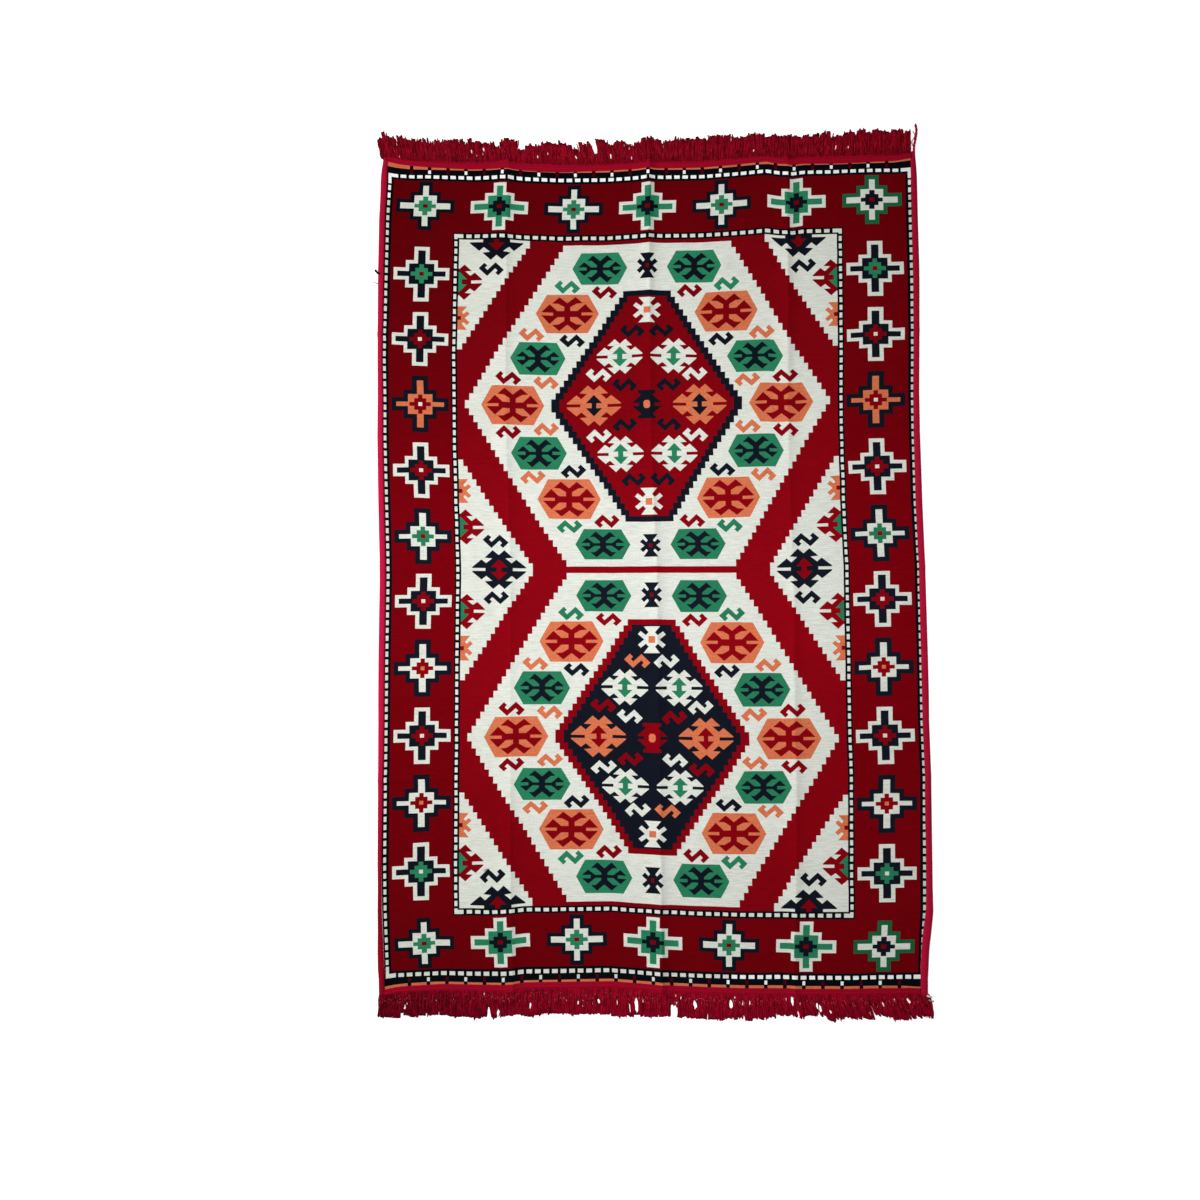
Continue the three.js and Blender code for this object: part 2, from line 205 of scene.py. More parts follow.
@dataclass(frozen=True)
class RugSurface:
    """The shape in which the cloth lies: its bowed outline and the creases it was folded on."""

    half_width: float = 597.5
    half_length: float = 928.0
    ring: Point = (581.5, 888.0)
    straight_end: float = 880.0
    thickness: float = 2.0
    sewing_gap: float = 0.3
    sharpness: Point = (2.0, 3.1)
    wave: Point = (0.15, 150.0)
    ripple: Point = (0.35, 130.0)
    creases: tuple[LengthCrease, ...] = (
        LengthCrease(-316, -0.004, 5, 8, 40, 0.4),
        LengthCrease(10, -0.009, 6, 10, 40, 2.1),
        LengthCrease(313, 0.002, 4.5, 6.5, 40, 4.0),
    )
    cross_creases: tuple[CrossCrease, ...] = (
        CrossCrease(530, 6, 3, 80, 30),
        CrossCrease(2, 4, 2.5, 110, 30),
        CrossCrease(-468, 5, 1.5, 120, 30),
    )
    side_bow: tuple[SideBow, ...] = (
        SideBow(-888, -4, -2.5),
        SideBow(-820, -1, 0),
        SideBow(-750, 2, 5),
        SideBow(-650, 3.5, 6.5),
        SideBow(-460, 2.5, 9),
        SideBow(-340, 1.5, 6),
        SideBow(-200, 1, 6),
        SideBow(0, -1.5, 4.5),
        SideBow(150, 3, -1),
        SideBow(300, 7.5, -3),
        SideBow(390, 8, -3),
        SideBow(480, 10, -1),
        SideBow(640, 7, 0),
        SideBow(800, 3.5, -1.5),
        SideBow(888, -1.5, -1.5),
    )
    end_bow: tuple[EndBow, ...] = (
        EndBow(-597, 8.7, 5.3),
        EndBow(-572, 4.6, 1.8),
        EndBow(-540, 2.6, 0),
        EndBow(-470, 1, -3),
        EndBow(-400, -2, -1),
        EndBow(-335, 0.5, 0),
        EndBow(-285, -4.5, -5.5),
        EndBow(-203, -9.5, -7),
        EndBow(-95, -10, -9.5),
        EndBow(-15, -5.5, -3.5),
        EndBow(50, -5.5, 0),
        EndBow(120, -5.5, 3),
        EndBow(195, -0.5, 5),
        EndBow(267, 6, 5),
        EndBow(300, 0, 5),
        EndBow(325, -2.5, 6.5),
        EndBow(350, 1.5, 6.5),
        EndBow(430, 2, 7),
        EndBow(500, 4, 5.5),
        EndBow(560, 3, 4.5),
        EndBow(597, 5.5, 4.5),
    )
    edges: tuple[EdgeRow, ...] = (
        EdgeRow(-935, 610, 603.5, 586.8),
        EdgeRow(-900, 611, 604, 587.2),
        EdgeRow(-880, 613, 605.5, 587.4),
        EdgeRow(-840, 612, 606.5, 588.6),
        EdgeRow(-800, 609.8, 609.5, 591),
        EdgeRow(-760, 608.5, 611, 595),
        EdgeRow(-700, 607, 609.2, 597.5),
        EdgeRow(-468, 608, 606.7, 597.5),
        EdgeRow(-280, 610, 607.7, 597.5),
        EdgeRow(0, 610.7, 606, 597.5),
        EdgeRow(160, 610.3, 607.7, 597.5),
        EdgeRow(300, 608.8, 607, 597.5),
        EdgeRow(480, 606.6, 606.7, 597.5),
        EdgeRow(680, 610.5, 609.2, 597.5),
        EdgeRow(850, 611.6, 608.8, 597.5),
        EdgeRow(880, 613, 608.5, 597.5),
        EdgeRow(900, 611.8, 607.6, 597.5),
        EdgeRow(935, 606.5, 605, 597.5),
    )
    left_reach: float = 615.36
    tail_tip: float = 1008.0

    @cached_property
    def middle(self) -> Vector:
        """The pattern's middle in the frame, from the boxes of the two bindings, in metres."""
        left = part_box("side_binding_left")[0].x
        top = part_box("side_binding_right")[1].y
        return Vector((left + self.left_reach * MM, top - self.tail_tip * MM, 0.0))

    def held(self, v: float) -> float:
        """The length coordinate, held still where the end pieces are sewn on."""
        return min(max(v, -self.straight_end), self.straight_end)

    def crest(self, crease: LengthCrease, v: float) -> float:
        """Where a lengthwise crease crosses the length v."""
        return crease.at + crease.lean * self.held(v)

    def cloth_edge(self, side: Side, v: float) -> float:
        """How far the cloth reaches from the middle line on one side."""
        return read(self.edges, v, "cloth_right") if side is Side.RIGHT else self.half_width

    def lift(self, u: float, v: float) -> float:
        """Height of the cloth's underside over the floor.

        Args:
            u: place across the cloth.
            v: place along the cloth.

        Returns:
            The height in millimetres.
        """
        held = self.held(v)
        total = 0.0
        for crease in self.creases:
            away = 1 - abs(u - self.crest(crease, v)) / crease.reach
            if away > 0:
                grown = crease.middle + (crease.end - crease.middle) * (held / self.straight_end) ** 2
                waved = 1 + self.wave[0] * math.sin(held / self.wave[1] + crease.phase)
                flank = self.sharpness[0 if u < self.crest(crease, v) else 1]
                total += grown * waved * away ** flank
        for fold in self.cross_creases:
            away = 1 - abs(v - fold.at) / fold.reach
            if away > 0:
                left = fold.left * math.exp(-(u + self.half_width) / fold.fade)
                right = fold.right * math.exp(-(self.half_width - u) / fold.fade)
                flank = self.sharpness[0 if v > fold.at else 1]
                total += max(0.0, left + right - 0.1) * away ** flank
        return total

    def bowed(self, u: float, v: float) -> Point:
        """A point of the flat cloth, moved into the rug's bowed outline."""
        held = self.held(v)
        across = (u + self.ring[0]) / (2 * self.ring[0])
        left = read(self.side_bow, held, "left")
        right = read(self.side_bow, held, "right")
        bow = read(self.end_bow, u, "top") if v > 0 else -read(self.end_bow, u, "bottom")
        share = min(1.0, abs(v) / self.ring[1])
        return u - left * (1 - across) + right * across, v + bow * share

    def lay(self, u: float, v: float, height: float, out: float = 0.0) -> Vector:
        """A point of the rug where it lies on the floor.

        Args:
            u: place across the cloth.
            v: place along the cloth.
            height: height over the floor.
            out: a further move along X.

        Returns:
            The point in metres, in the frame.
        """
        x, y = self.bowed(u, v)
        return self.middle + Vector((x + out, y, height)) * MM


class Motif(Enum):
    """The chart's shapes, each as a quarter outline from its top centre round to its right centre."""

    GREEN_HEXAGON = ((42, 36.8), (62.3, 0))
    ORANGE_HEXAGON = ((46.5, 44.3), (71, 0))
    CLAW = ((0, 18), (16, 31.5), (29.5, 18.8), (19, 18.8), (6.8, 8), (6.8, 3.4), (20, 3.4), (35.5, 16),
            (48.8, 4), (48.8, 3.6), (30, 3.6))
    WIDE_CLAW = ((0, 25), (18, 39), (34.5, 25), (20.5, 24), (6.8, 16.2), (6.8, 7.2), (22.5, 7.2), (40, 23),
                 (58, 4), (58, 3.3), (32, 3.3))
    STAR = ((18.8, 28.6), (7.2, 15), (13.5, 9), (25, 17.5), (31.5, 11), (17.5, 0))
    SMALL_STAR = ((17, 29), (6, 13.5), (9.5, 9.2), (17, 17), (23.8, 9.6), (13, 0))
    EDGE_STAR = ((18, 27), (6.5, 13.5), (10, 9.5), (18, 16), (24, 10), (13, 0))
    LACE = ((0, 29.5), (12, 40.3), (28, 25.5), (13.5, 24.5), (25, 14.5), (35, 21.5), (52, 5.5), (52, 3.4),
            (27.5, 3.4))
    LACE_CORE = ((0, 23), (17.3, 5.8), (5.9, 5.8))
    WIDE_LACE = ((0, 34.5), (13, 45.7), (32, 28), (15, 26.5), (28.5, 15), (39, 23.7), (60.5, 5.7),
                 (60.5, 3.4), (30.5, 3.4))
    WIDE_LACE_CORE = ((0, 24.3), (18.5, 5.6), (5.2, 5.6))
    BEETLE = ((20.5, 32), (20.5, 26), (12.5, 22), (33, 5), (33, 3.5), (18, 3.5))
    BEETLE_EYE = ((4, 9), (7.5, 5), (7.5, 0))


S_HOOK = ((-29.3, 3), (-16.5, 15.4), (-9.6, 9), (-14.6, 4), (-9.1, -1.6), (9.6, 15.4))


def whole(quarter: Sequence[Point]) -> list[Point]:
    """The full outline of a shape from its quarter, with repeated points dropped.

    Args:
        quarter: points from the top centre round to the right centre.

    Returns:
        The outline's points, in clockwise order.
    """
    right = list(quarter) + [(u, -v) for u, v in reversed(quarter)]
    points = right + [(-u, v) for u, v in reversed(right)]
    return [p for i, p in enumerate(points) if p != points[i - 1]]


def plus(arm: Point, body: Point, upright: Point) -> list[Point]:
    """The quarter outline of a cross.

    Args:
        arm: half length and half height of its sideways arms.
        body: half width and half height of its middle.
        upright: half width and half height of its upright arms.

    Returns:
        The quarter outline.
    """
    return [upright, (upright[0], body[1]), body, (body[0], arm[1]), arm]


def stairs(top: float, width: float, run: float, rise: float, levels: int) -> list[Point]:
    """The quarter outline of a stepped lozenge.

    Args:
        top: half height.
        width: half width of its top level.
        run: how much wider each level is.
        rise: height of each level.
        levels: number of levels above the tip's.

    Returns:
        The quarter outline.
    """
    points = []
    for level in range(levels):
        reach = width + run * level
        points += [(reach, top - rise * level), (reach, top - rise * (level + 1))]
    return points + [(width + run * levels, top - rise * levels)]


class CrossColours(NamedTuple):
    """One cross of the border: its place along its row and the yarns of its four layers."""

    at: float
    outline: Yarn
    fill: Yarn
    core: Yarn
    centre: Yarn


class Spot(NamedTuple):
    """A small figure's place from its medallion's middle, and its yarns on the left and the right."""

    u: float
    v: float
    left: Yarn
    right: Yarn


@dataclass
class Chart:
    """The weaver's chart: flat shapes of one yarn each, where a later one covers those before it."""

    half_width: float = 597.5
    half_length: float = 928.0
    medallion: float = 375.5
    ground: Point = (427.0, 753.5)
    inner_ring: Point = (441.0, 769.5)
    border: Point = (582.0, 889.0)
    shapes: list[tuple[Yarn, list[Point]]] = field(default_factory=list)
    spread: dict[Yarn, float] = field(default_factory=lambda: {
        Yarn.CREAM: -0.6, Yarn.ORANGE: -0.6, Yarn.NAVY: 0.5, Yarn.GREEN: 0.3,
        Yarn.DEEP_GREEN: 0.3})

    end_crosses: tuple[CrossColours, ...] = (
        CrossColours(-507, Yarn.NAVY, Yarn.CREAM, Yarn.GREEN, Yarn.FIELD_RED),
        CrossColours(-338, Yarn.CREAM, Yarn.GREEN, Yarn.NAVY, Yarn.FIELD_RED),
        CrossColours(-169, Yarn.NAVY, Yarn.CREAM, Yarn.GREEN, Yarn.FIELD_RED),
        CrossColours(0, Yarn.CREAM, Yarn.GREEN, Yarn.NAVY, Yarn.FIELD_RED),
        CrossColours(169, Yarn.NAVY, Yarn.CREAM, Yarn.GREEN, Yarn.FIELD_RED),
        CrossColours(338, Yarn.CREAM, Yarn.GREEN, Yarn.NAVY, Yarn.FIELD_RED),
        CrossColours(507, Yarn.DEEP_GREEN, Yarn.CREAM, Yarn.NAVY, Yarn.FIELD_RED),
    )
    side_crosses: tuple[CrossColours, ...] = (
        CrossColours(672, Yarn.CREAM, Yarn.NAVY, Yarn.GREEN, Yarn.FIELD_RED),
        CrossColours(522.5, Yarn.CREAM, Yarn.NAVY, Yarn.FIELD_RED, Yarn.CREAM),
        CrossColours(373, Yarn.NAVY, Yarn.ORANGE, Yarn.FIELD_RED, Yarn.CREAM),
        CrossColours(223.5, Yarn.CREAM, Yarn.NAVY, Yarn.FIELD_RED, Yarn.CREAM),
        CrossColours(74, Yarn.NAVY, Yarn.CREAM, Yarn.GREEN, Yarn.FIELD_RED),
        CrossColours(-74, Yarn.CREAM, Yarn.NAVY, Yarn.FIELD_RED, Yarn.CREAM),
        CrossColours(-223.5, Yarn.NAVY, Yarn.CREAM, Yarn.FIELD_RED, Yarn.ORANGE),
        CrossColours(-373, Yarn.CREAM, Yarn.NAVY, Yarn.FIELD_RED, Yarn.CREAM),
        CrossColours(-522.5, Yarn.NAVY, Yarn.CREAM, Yarn.FIELD_RED, Yarn.ORANGE),
        CrossColours(-672, Yarn.CREAM, Yarn.NAVY, Yarn.GREEN, Yarn.CREAM),
    )
    outer_hooks: tuple[Spot, ...] = (
        Spot(181, 272.5, Yarn.GREEN, Yarn.GREEN),
        Spot(97, 259.5, Yarn.FIELD_RED, Yarn.FIELD_RED),
        Spot(260, 161.5, Yarn.ORANGE, Yarn.ORANGE),
        Spot(168.5, 148.5, Yarn.NAVY, Yarn.NAVY),
        Spot(312.5, 61.5, Yarn.FIELD_RED, Yarn.FIELD_RED),
        Spot(227.5, 53, Yarn.ORANGE, Yarn.ORANGE),
        Spot(350, 309, Yarn.NAVY, Yarn.NAVY),
    )
    upper_hooks: tuple[Spot, ...] = (
        Spot(33, 168.5, Yarn.NAVY, Yarn.NAVY),
        Spot(50.4, 45, Yarn.NAVY, Yarn.NAVY),
        Spot(109.3, 69, Yarn.CREAM, Yarn.CREAM),
        Spot(33, -168.5, Yarn.NAVY, Yarn.NAVY),
        Spot(50.4, -45, Yarn.NAVY, Yarn.NAVY),
        Spot(109.3, -69, Yarn.CREAM, Yarn.CREAM),
    )
    lower_hooks: tuple[Spot, ...] = (
        Spot(33, 169.5, Yarn.ORANGE, Yarn.CREAM),
        Spot(109, 68.5, Yarn.FIELD_RED, Yarn.CREAM),
        Spot(50, 45.5, Yarn.CREAM, Yarn.FIELD_RED),
        Spot(50, -48.5, Yarn.FIELD_RED, Yarn.CREAM),
        Spot(109, -68.5, Yarn.CREAM, Yarn.FIELD_RED),
        Spot(33, -164.5, Yarn.CREAM, Yarn.ORANGE),
    )

    def add(self, yarn: Yarn, outline: Sequence[Point], at: Point = (0.0, 0.0), flip: Point = (1, 1)) -> None:
        """Adds a shape over those already there.

        Args:
            yarn: its yarn.
            outline: its outline about its own middle.
            at: where its middle goes.
            flip: signs that mirror it across and along the rug.
        """
        self.shapes.append((yarn, [(at[0] + flip[0] * u, at[1] + flip[1] * v) for u, v in outline]))

    def box(self, yarn: Yarn, left: float, right: float, low: float, high: float) -> None:
        """Adds a rectangle between two places across and two along the rug."""
        self.add(yarn, [(left, low), (right, low), (right, high), (left, high)])

    def figure(self, yarn: Yarn, motif: Motif, at: Point) -> None:
        """Adds one of the chart's mirrored shapes."""
        self.add(yarn, whole(motif.value), at)

    def frame_of(self, yarn: Yarn, inner: Point, outer: Point) -> None:
        """Adds the band between two rectangles about the pattern's middle."""
        for sign in (-1, 1):
            low, high = sorted((sign * inner[1], sign * outer[1]))
            self.box(yarn, -outer[0], outer[0], low, high)
            low, high = sorted((sign * inner[0], sign * outer[0]))
            self.box(yarn, low, high, -outer[1], outer[1])

    def dashes(self, yarn_at: Callable[[float, float], Yarn], row: Point, first: float, long: float,
               count: int, upright: bool) -> None:
        """Adds a row of dashes on both of two opposite sides.

        Args:
            yarn_at: the yarn of the dash whose middle is at u, v.
            row: the row's inner and outer distance from the middle line.
            first: where the first dash starts, measured from the middle.
            long: a dash's length.
            count: number of dashes in one row.
            upright: whether the row runs along the rug.
        """
        pitch = (2 * first - long) / (count - 1)
        for sign in (-1, 1):
            near, far = sorted((sign * row[0], sign * row[1]))
            for i in range(count):
                start = -first + pitch * i
                spot = ((near + far) / 2, start + long / 2)
                if upright:
                    self.box(yarn_at(*spot), near, far, start, start + long)
                else:
                    self.box(yarn_at(spot[1], spot[0]), start, start + long, near, far)

    def draw(self) -> None:
        """Draws the whole chart, from the field outwards."""
        self.box(Yarn.FIELD_RED, -self.half_width, self.half_width, -self.half_length, self.half_length)
        for sign in (1, -1):
            self.draw_medallion(sign)
        self.draw_field_edges()
        self.draw_inner_ring()
        self.draw_border()
        self.draw_outer_frame()

    def draw_medallion(self, sign: int) -> None:
        """Draws one medallion's ground, its stepped diamond and all its figures."""
        middle = sign * self.medallion
        upper = sign > 0
        band, inside = (Yarn.NAVY, Yarn.FIELD_RED) if upper else (Yarn.FIELD_RED, Yarn.NAVY)
        figure = Yarn.NAVY if upper else Yarn.FIELD_RED
        self.add(Yarn.CREAM, whole(stairs(368.7, 191, 9.52, 15.64, 23)), (0, sign * 376.3))
        self.add(band, whole(stairs(260.5, 54.7, 9.48, 14.45, 17)), (0, middle))
        self.add(inside, whole(stairs(248, 45, 9.5, 14.6, 16)), (0, middle))
        for side in (-1, 1):
            for end in (-1, 1):
                for u, v in ((107.5, 314.5), (245, 107.5)):
                    self.hexagon(Motif.GREEN_HEXAGON, (side * u, middle + end * v))
                self.hexagon(Motif.ORANGE_HEXAGON, (side * 180, middle + end * 210.5))
                for hook in self.outer_hooks:
                    self.add_hook(hook, side, end, middle)
                self.figure(Yarn.CREAM, Motif.LACE, (side * 61, middle + end * 110.5))
                self.figure(Yarn.GREEN, Motif.LACE_CORE, (side * 61, middle + end * 110.5))
            self.hexagon(Motif.ORANGE_HEXAGON, (side * 302.5, middle))
            for hook in self.upper_hooks if upper else self.lower_hooks:
                self.add_hook(hook, side, 1 if hook.v > 0 else -1, middle)
            self.figure(Yarn.ORANGE, Motif.WIDE_LACE, (side * 120, middle))
            self.figure(figure, Motif.WIDE_LACE_CORE, (side * 120, middle))
        for end in (-1, 1):
            self.figure(Yarn.CREAM, Motif.STAR, (0, middle + end * 215.5))
            self.box(Yarn.ORANGE, -7.5, 7.5, middle + end * 215.5 - 7, middle + end * 215.5 + 7)
            self.figure(Yarn.NAVY, Motif.SMALL_STAR, (0, middle + end * 317))
            self.box(Yarn.FIELD_RED, -3.5, 3.5, middle + end * 317 - 4.5, middle + end * 317 + 4.5)
        self.figure(figure, Motif.BEETLE, (0, middle))
        self.figure(Yarn.ORANGE, Motif.BEETLE_EYE, (0, middle))

    def hexagon(self, motif: Motif, at: Point) -> None:
        """Draws a long hexagon with its clawed figure."""
        green = motif is Motif.GREEN_HEXAGON
        self.figure(Yarn.GREEN if green else Yarn.ORANGE, motif, at)
        self.figure(Yarn.NAVY if green else Yarn.FIELD_RED, Motif.CLAW if green else Motif.WIDE_CLAW, at)

    def add_hook(self, spot: Spot, side: int, end: int, middle: float) -> None:
        """Draws an S-shaped hook, mirrored to suit its side and end of the medallion."""
        outline = list(S_HOOK) + [(-u, -v) for u, v in S_HOOK]
        yarn = spot.left if side < 0 else spot.right
        self.add(yarn, outline, (side * spot.u, middle + end * abs(spot.v)), (-side, end))

    def draw_field_edges(self) -> None:
        """Draws the lozenges, laces and stars that the field's sides cut in half."""
        width, height = self.ground
        for side in (-1, 1):
            for middle in (-751, 0, 751):
                self.add(Yarn.CREAM, whole(stairs(250.2, 10.9, 9.35, 14.7, 16)), (side * width, middle))
            for end in (-1, 1):
                for v in (97.5, 655.5):
                    self.figure(Yarn.FIELD_RED, Motif.LACE, (side * 425.5, end * v))
                    self.figure(Yarn.GREEN, Motif.LACE_CORE, (side * 425.5, end * v))
                for v in (179.5, 573):
                    self.figure(Yarn.ORANGE, Motif.EDGE_STAR, (side * 424, end * v))
                    self.box(Yarn.FIELD_RED, side * 424 - 4.5, side * 424 + 4.5, end * v - 4.5, end * v + 4.5)
                for u, v in ((348, 66), (353, 684)):
                    yarn_spot = Spot(u, v, Yarn.NAVY, Yarn.NAVY)
                    self.add_hook(yarn_spot, side, -end if v < 100 else end, 0)
            for middle in (-751, 0, 751):
                self.figure(Yarn.NAVY, Motif.WIDE_LACE, (side * 342, middle))
                self.figure(Yarn.FIELD_RED, Motif.WIDE_LACE_CORE, (side * 342, middle))

    def draw_inner_ring(self) -> None:
        """Draws the black ring of cream dashes around the field."""
        self.frame_of(Yarn.BLACK, self.ground, self.inner_ring)
        for u in (-1, 1):
            for v in (-1, 1):
                self.add(Yarn.CREAM, [(418, 757), (438, 757), (438, 766), (418, 766)], flip=(u, v))
                self.add(Yarn.CREAM, [(431, 754), (438, 754), (438, 766), (431, 766)], flip=(u, v))
        self.dashes(lambda u, v: Yarn.CREAM, (757.5, 765.5), 411.1, 11.8, 44, upright=False)
        self.dashes(lambda u, v: Yarn.CREAM, (431.3, 437.7), 748.9, 11.4, 87, upright=True)

    def draw_border(self) -> None:
        """Draws the red border and its crosses."""
        self.frame_of(Yarn.BORDER_RED, self.inner_ring, self.border)
        for sign in (-1, 1):
            for cross in self.end_crosses:
                light = cross.outline is Yarn.CREAM
                fill = plus((57, 6.5) if light else (58, 7.5), (26, 25), (7, 47.4))
                layers = (plus((66, 15), (34, 32.5), (15.2, 56)), fill,
                          plus((24, 4), (14.3, 12.5), (5.4, 21.5)), [(5.5, 4.3)])
                self.cross(cross, layers, (cross.at, sign * 830))
            for cross in self.side_crosses:
                layers = (plus((64, 14.5), (37, 32), (18, 63)), plus((54.5, 5.5), (28, 23), (8, 53.5)),
                          plus((24, 4.3), (13.5, 13), (4.8, 21.5)), [(5, 4.7)])
                self.cross(cross, layers, (sign * 511, cross.at))

    def cross(self, cross: CrossColours, layers: Sequence[Sequence[Point]], at: Point) -> None:
        """Draws a cross, one layer on another."""
        for yarn, quarter in zip(cross[1:], layers):
            wider = self.spread.get(yarn, 0.0)
            self.add(yarn, whole([(u + wider, v + wider) for u, v in quarter]), at)

    def draw_outer_frame(self) -> None:
        """Draws the outermost dashes, and the ticked black bands and orange stripes of both ends."""
        self.frame_of(Yarn.BLACK, self.border, (self.half_width, 914))
        for end in (-1, 1):
            stripe = [(-600, 914), (600, 914), (600, 930), (-600, 930)]
            self.add(Yarn.STRIPE_ORANGE, stripe, flip=(1, end))
            swell = [(-597.5, 914), (597.5, 914), (597.5, 918.5), (550, 915.5), (500, 914.2), (-500, 914.2),
                     (-550, 915), (-597.5, 917.5)]
            self.add(Yarn.BLACK, swell, flip=(1, end))
            for tick in range(-13, 14):
                u = 41.64 * tick
                self.add(Yarn.BLACK, [(u - 4.1, 912), (u + 4.1, 912), (u + 4.1, 922.5), (u - 4.1, 922.5)],
                         flip=(1, end))
                yarn = Yarn.TICK_RED if tick % 2 else self.dash_yarn(u, end * 908)
                self.add(yarn, [(u - 3.1, 904.6), (u + 3.1, 904.6), (u + 3.1, 912.4), (u - 3.1, 912.4)],
                         flip=(1, end))
            for side in (-1, 1):
                yarn = self.dash_yarn(side * 590, end * 893)
                self.add(yarn, [(572, 893.6), (594.2, 893.6), (594.2, 901.6), (572, 901.6)], flip=(side, end))
                self.add(yarn, [(587.3, 878), (594.2, 878), (594.2, 901.6), (587.3, 901.6)], flip=(side, end))
        self.dashes(self.dash_yarn, (894, 901.3), 566.5, 12.6, 60, upright=False)
        self.dashes(self.dash_yarn, (587.8, 594), 873.5, 11.3, 101, upright=True)

    @staticmethod
    def dash_yarn(u: float, v: float) -> Yarn:
        """The outer dashes are purest white at the top and at the bottom's right, and dull at the sides."""
        bleached = v > 850 or (v < -880 and u > 165)
        return Yarn.WHITE if bleached else Yarn.CREAM if abs(v) > 880 else Yarn.DULL_CREAM


@dataclass(frozen=True)
class Wire:
    """An output of a shader's node, on which Python's operators stand for Math nodes."""

    shader: "Shader"
    socket: bpy.types.NodeSocket

    def math(self, operation: str, first: Any, second: Any = 0.0) -> "Wire":
        """A Math node on one or two values."""
        return self.shader.node("ShaderNodeMath", {0: first, 1: second}, operation=operation)

    def __add__(self, other: Any) -> "Wire":
        """This value and another."""
        return self.math("ADD", self, other)

    def __sub__(self, other: Any) -> "Wire":
        """This value less another."""
        return self.math("SUBTRACT", self, other)

    def __rsub__(self, other: Any) -> "Wire":
        """Another value less this one."""
        return self.math("SUBTRACT", other, self)

    def __mul__(self, other: Any) -> "Wire":
        """This value times another."""
        return self.math("MULTIPLY", self, other)

    def __truediv__(self, other: Any) -> "Wire":
        """This value over another."""
        return self.math("DIVIDE", self, other)

    def sine(self) -> "Wire":
        """The sine of this value."""
        return self.math("SINE", self)

    def clamp(self) -> "Wire":
        """This value, kept from 0 to 1."""
        return self.math("MINIMUM", self.math("MAXIMUM", self, 0.0), 1.0)

    __radd__ = __add__
    __rmul__ = __mul__


class Shader:
    """A material whose nodes are built up by calls."""

    def __init__(self, name: str) -> None:
        """Starts the material.

        Args:
            name: the material's name.
        """
        self.material = bpy.data.materials.new(name)
        self.material.use_nodes = True
        self.tree = self.material.node_tree
        self.tree.nodes.clear()

    def node(self, kind: str, inputs: dict[int | str, Any] | None = None, output: int | str = 0,
             **settings: Any) -> Wire:
        """Adds any node.

        Args:
            kind: the node's type.
            inputs: a value or a wire for each input that is set.
            output: which output to take.
            **settings: the node's own settings, which are set before its inputs.

        Returns:
            The chosen output.
        """
        made = self.tree.nodes.new(kind)
        for name, value in settings.items():
            setattr(made, name, value)
        for key, value in (inputs or {}).items():
            if isinstance(value, Wire):
                self.tree.links.new(value.socket, made.inputs[key])
            else:
                made.inputs[key].default_value = value
        return Wire(self, made.outputs[output])

    def attribute(self, name: str, output: str = "Color") -> Wire:
        """A named attribute of the mesh."""
        return self.node("ShaderNodeAttribute", output=output, attribute_name=name)

    def across_and_along(self) -> tuple[Wire, Wire, Wire]:
        """The mesh's own map, whole and as its two coordinates."""
        place = self.node("ShaderNodeUVMap", output="UV", uv_map="weave")
        return (place, self.node("ShaderNodeSeparateXYZ", {0: place}, "X"),
                self.node("ShaderNodeSeparateXYZ", {0: place}, "Y"))

    def stretched(self, place: Wire, scale: tuple[float, float, float]) -> Wire:
        """A place, scaled along each of its axes."""
        return self.node("ShaderNodeVectorMath", {0: place, 1: scale}, operation="MULTIPLY")

    def cloud(self, place: Wire, scale: float, detail: float = 2.0, roughness: float = 0.5) -> Wire:
        """Smooth noise from about 0 to 1."""
        return self.node("ShaderNodeTexNoise", {"Vector": place, "Scale": scale, "Detail": detail,
                                                "Roughness": roughness})

    def mix(self, share: Any, first: Any, second: Any) -> Wire:
        """A blend of two colours."""
        return self.node("ShaderNodeMix", {0: share, 6: first, 7: second}, 2, data_type="RGBA")

    def shade(self, colour: Wire, tone: Wire) -> Wire:
        """A colour made lighter or darker by a factor."""
        return self.node("ShaderNodeVectorMath", {0: colour, "Scale": tone}, operation="SCALE")

    def bump(self, height: Wire, distance: float, strength: float) -> Wire:
        """A normal raised by a height, whose full range is a distance in metres."""
        return self.node("ShaderNodeBump", {"Height": height, "Distance": distance, "Strength": strength})

    def finish(self, **inputs: Any) -> bpy.types.Material:
        """Ends the material in a Principled shader.

        Args:
            **inputs: its inputs by name, with underscores for spaces.

        Returns:
            The finished material.
        """
        named = {name.replace("_", " "): value for name, value in inputs.items()}
        surface = self.node("ShaderNodeBsdfPrincipled", named)
        end = self.tree.nodes.new("ShaderNodeOutputMaterial")
        self.tree.links.new(surface.socket, end.inputs["Surface"])
        return self.material


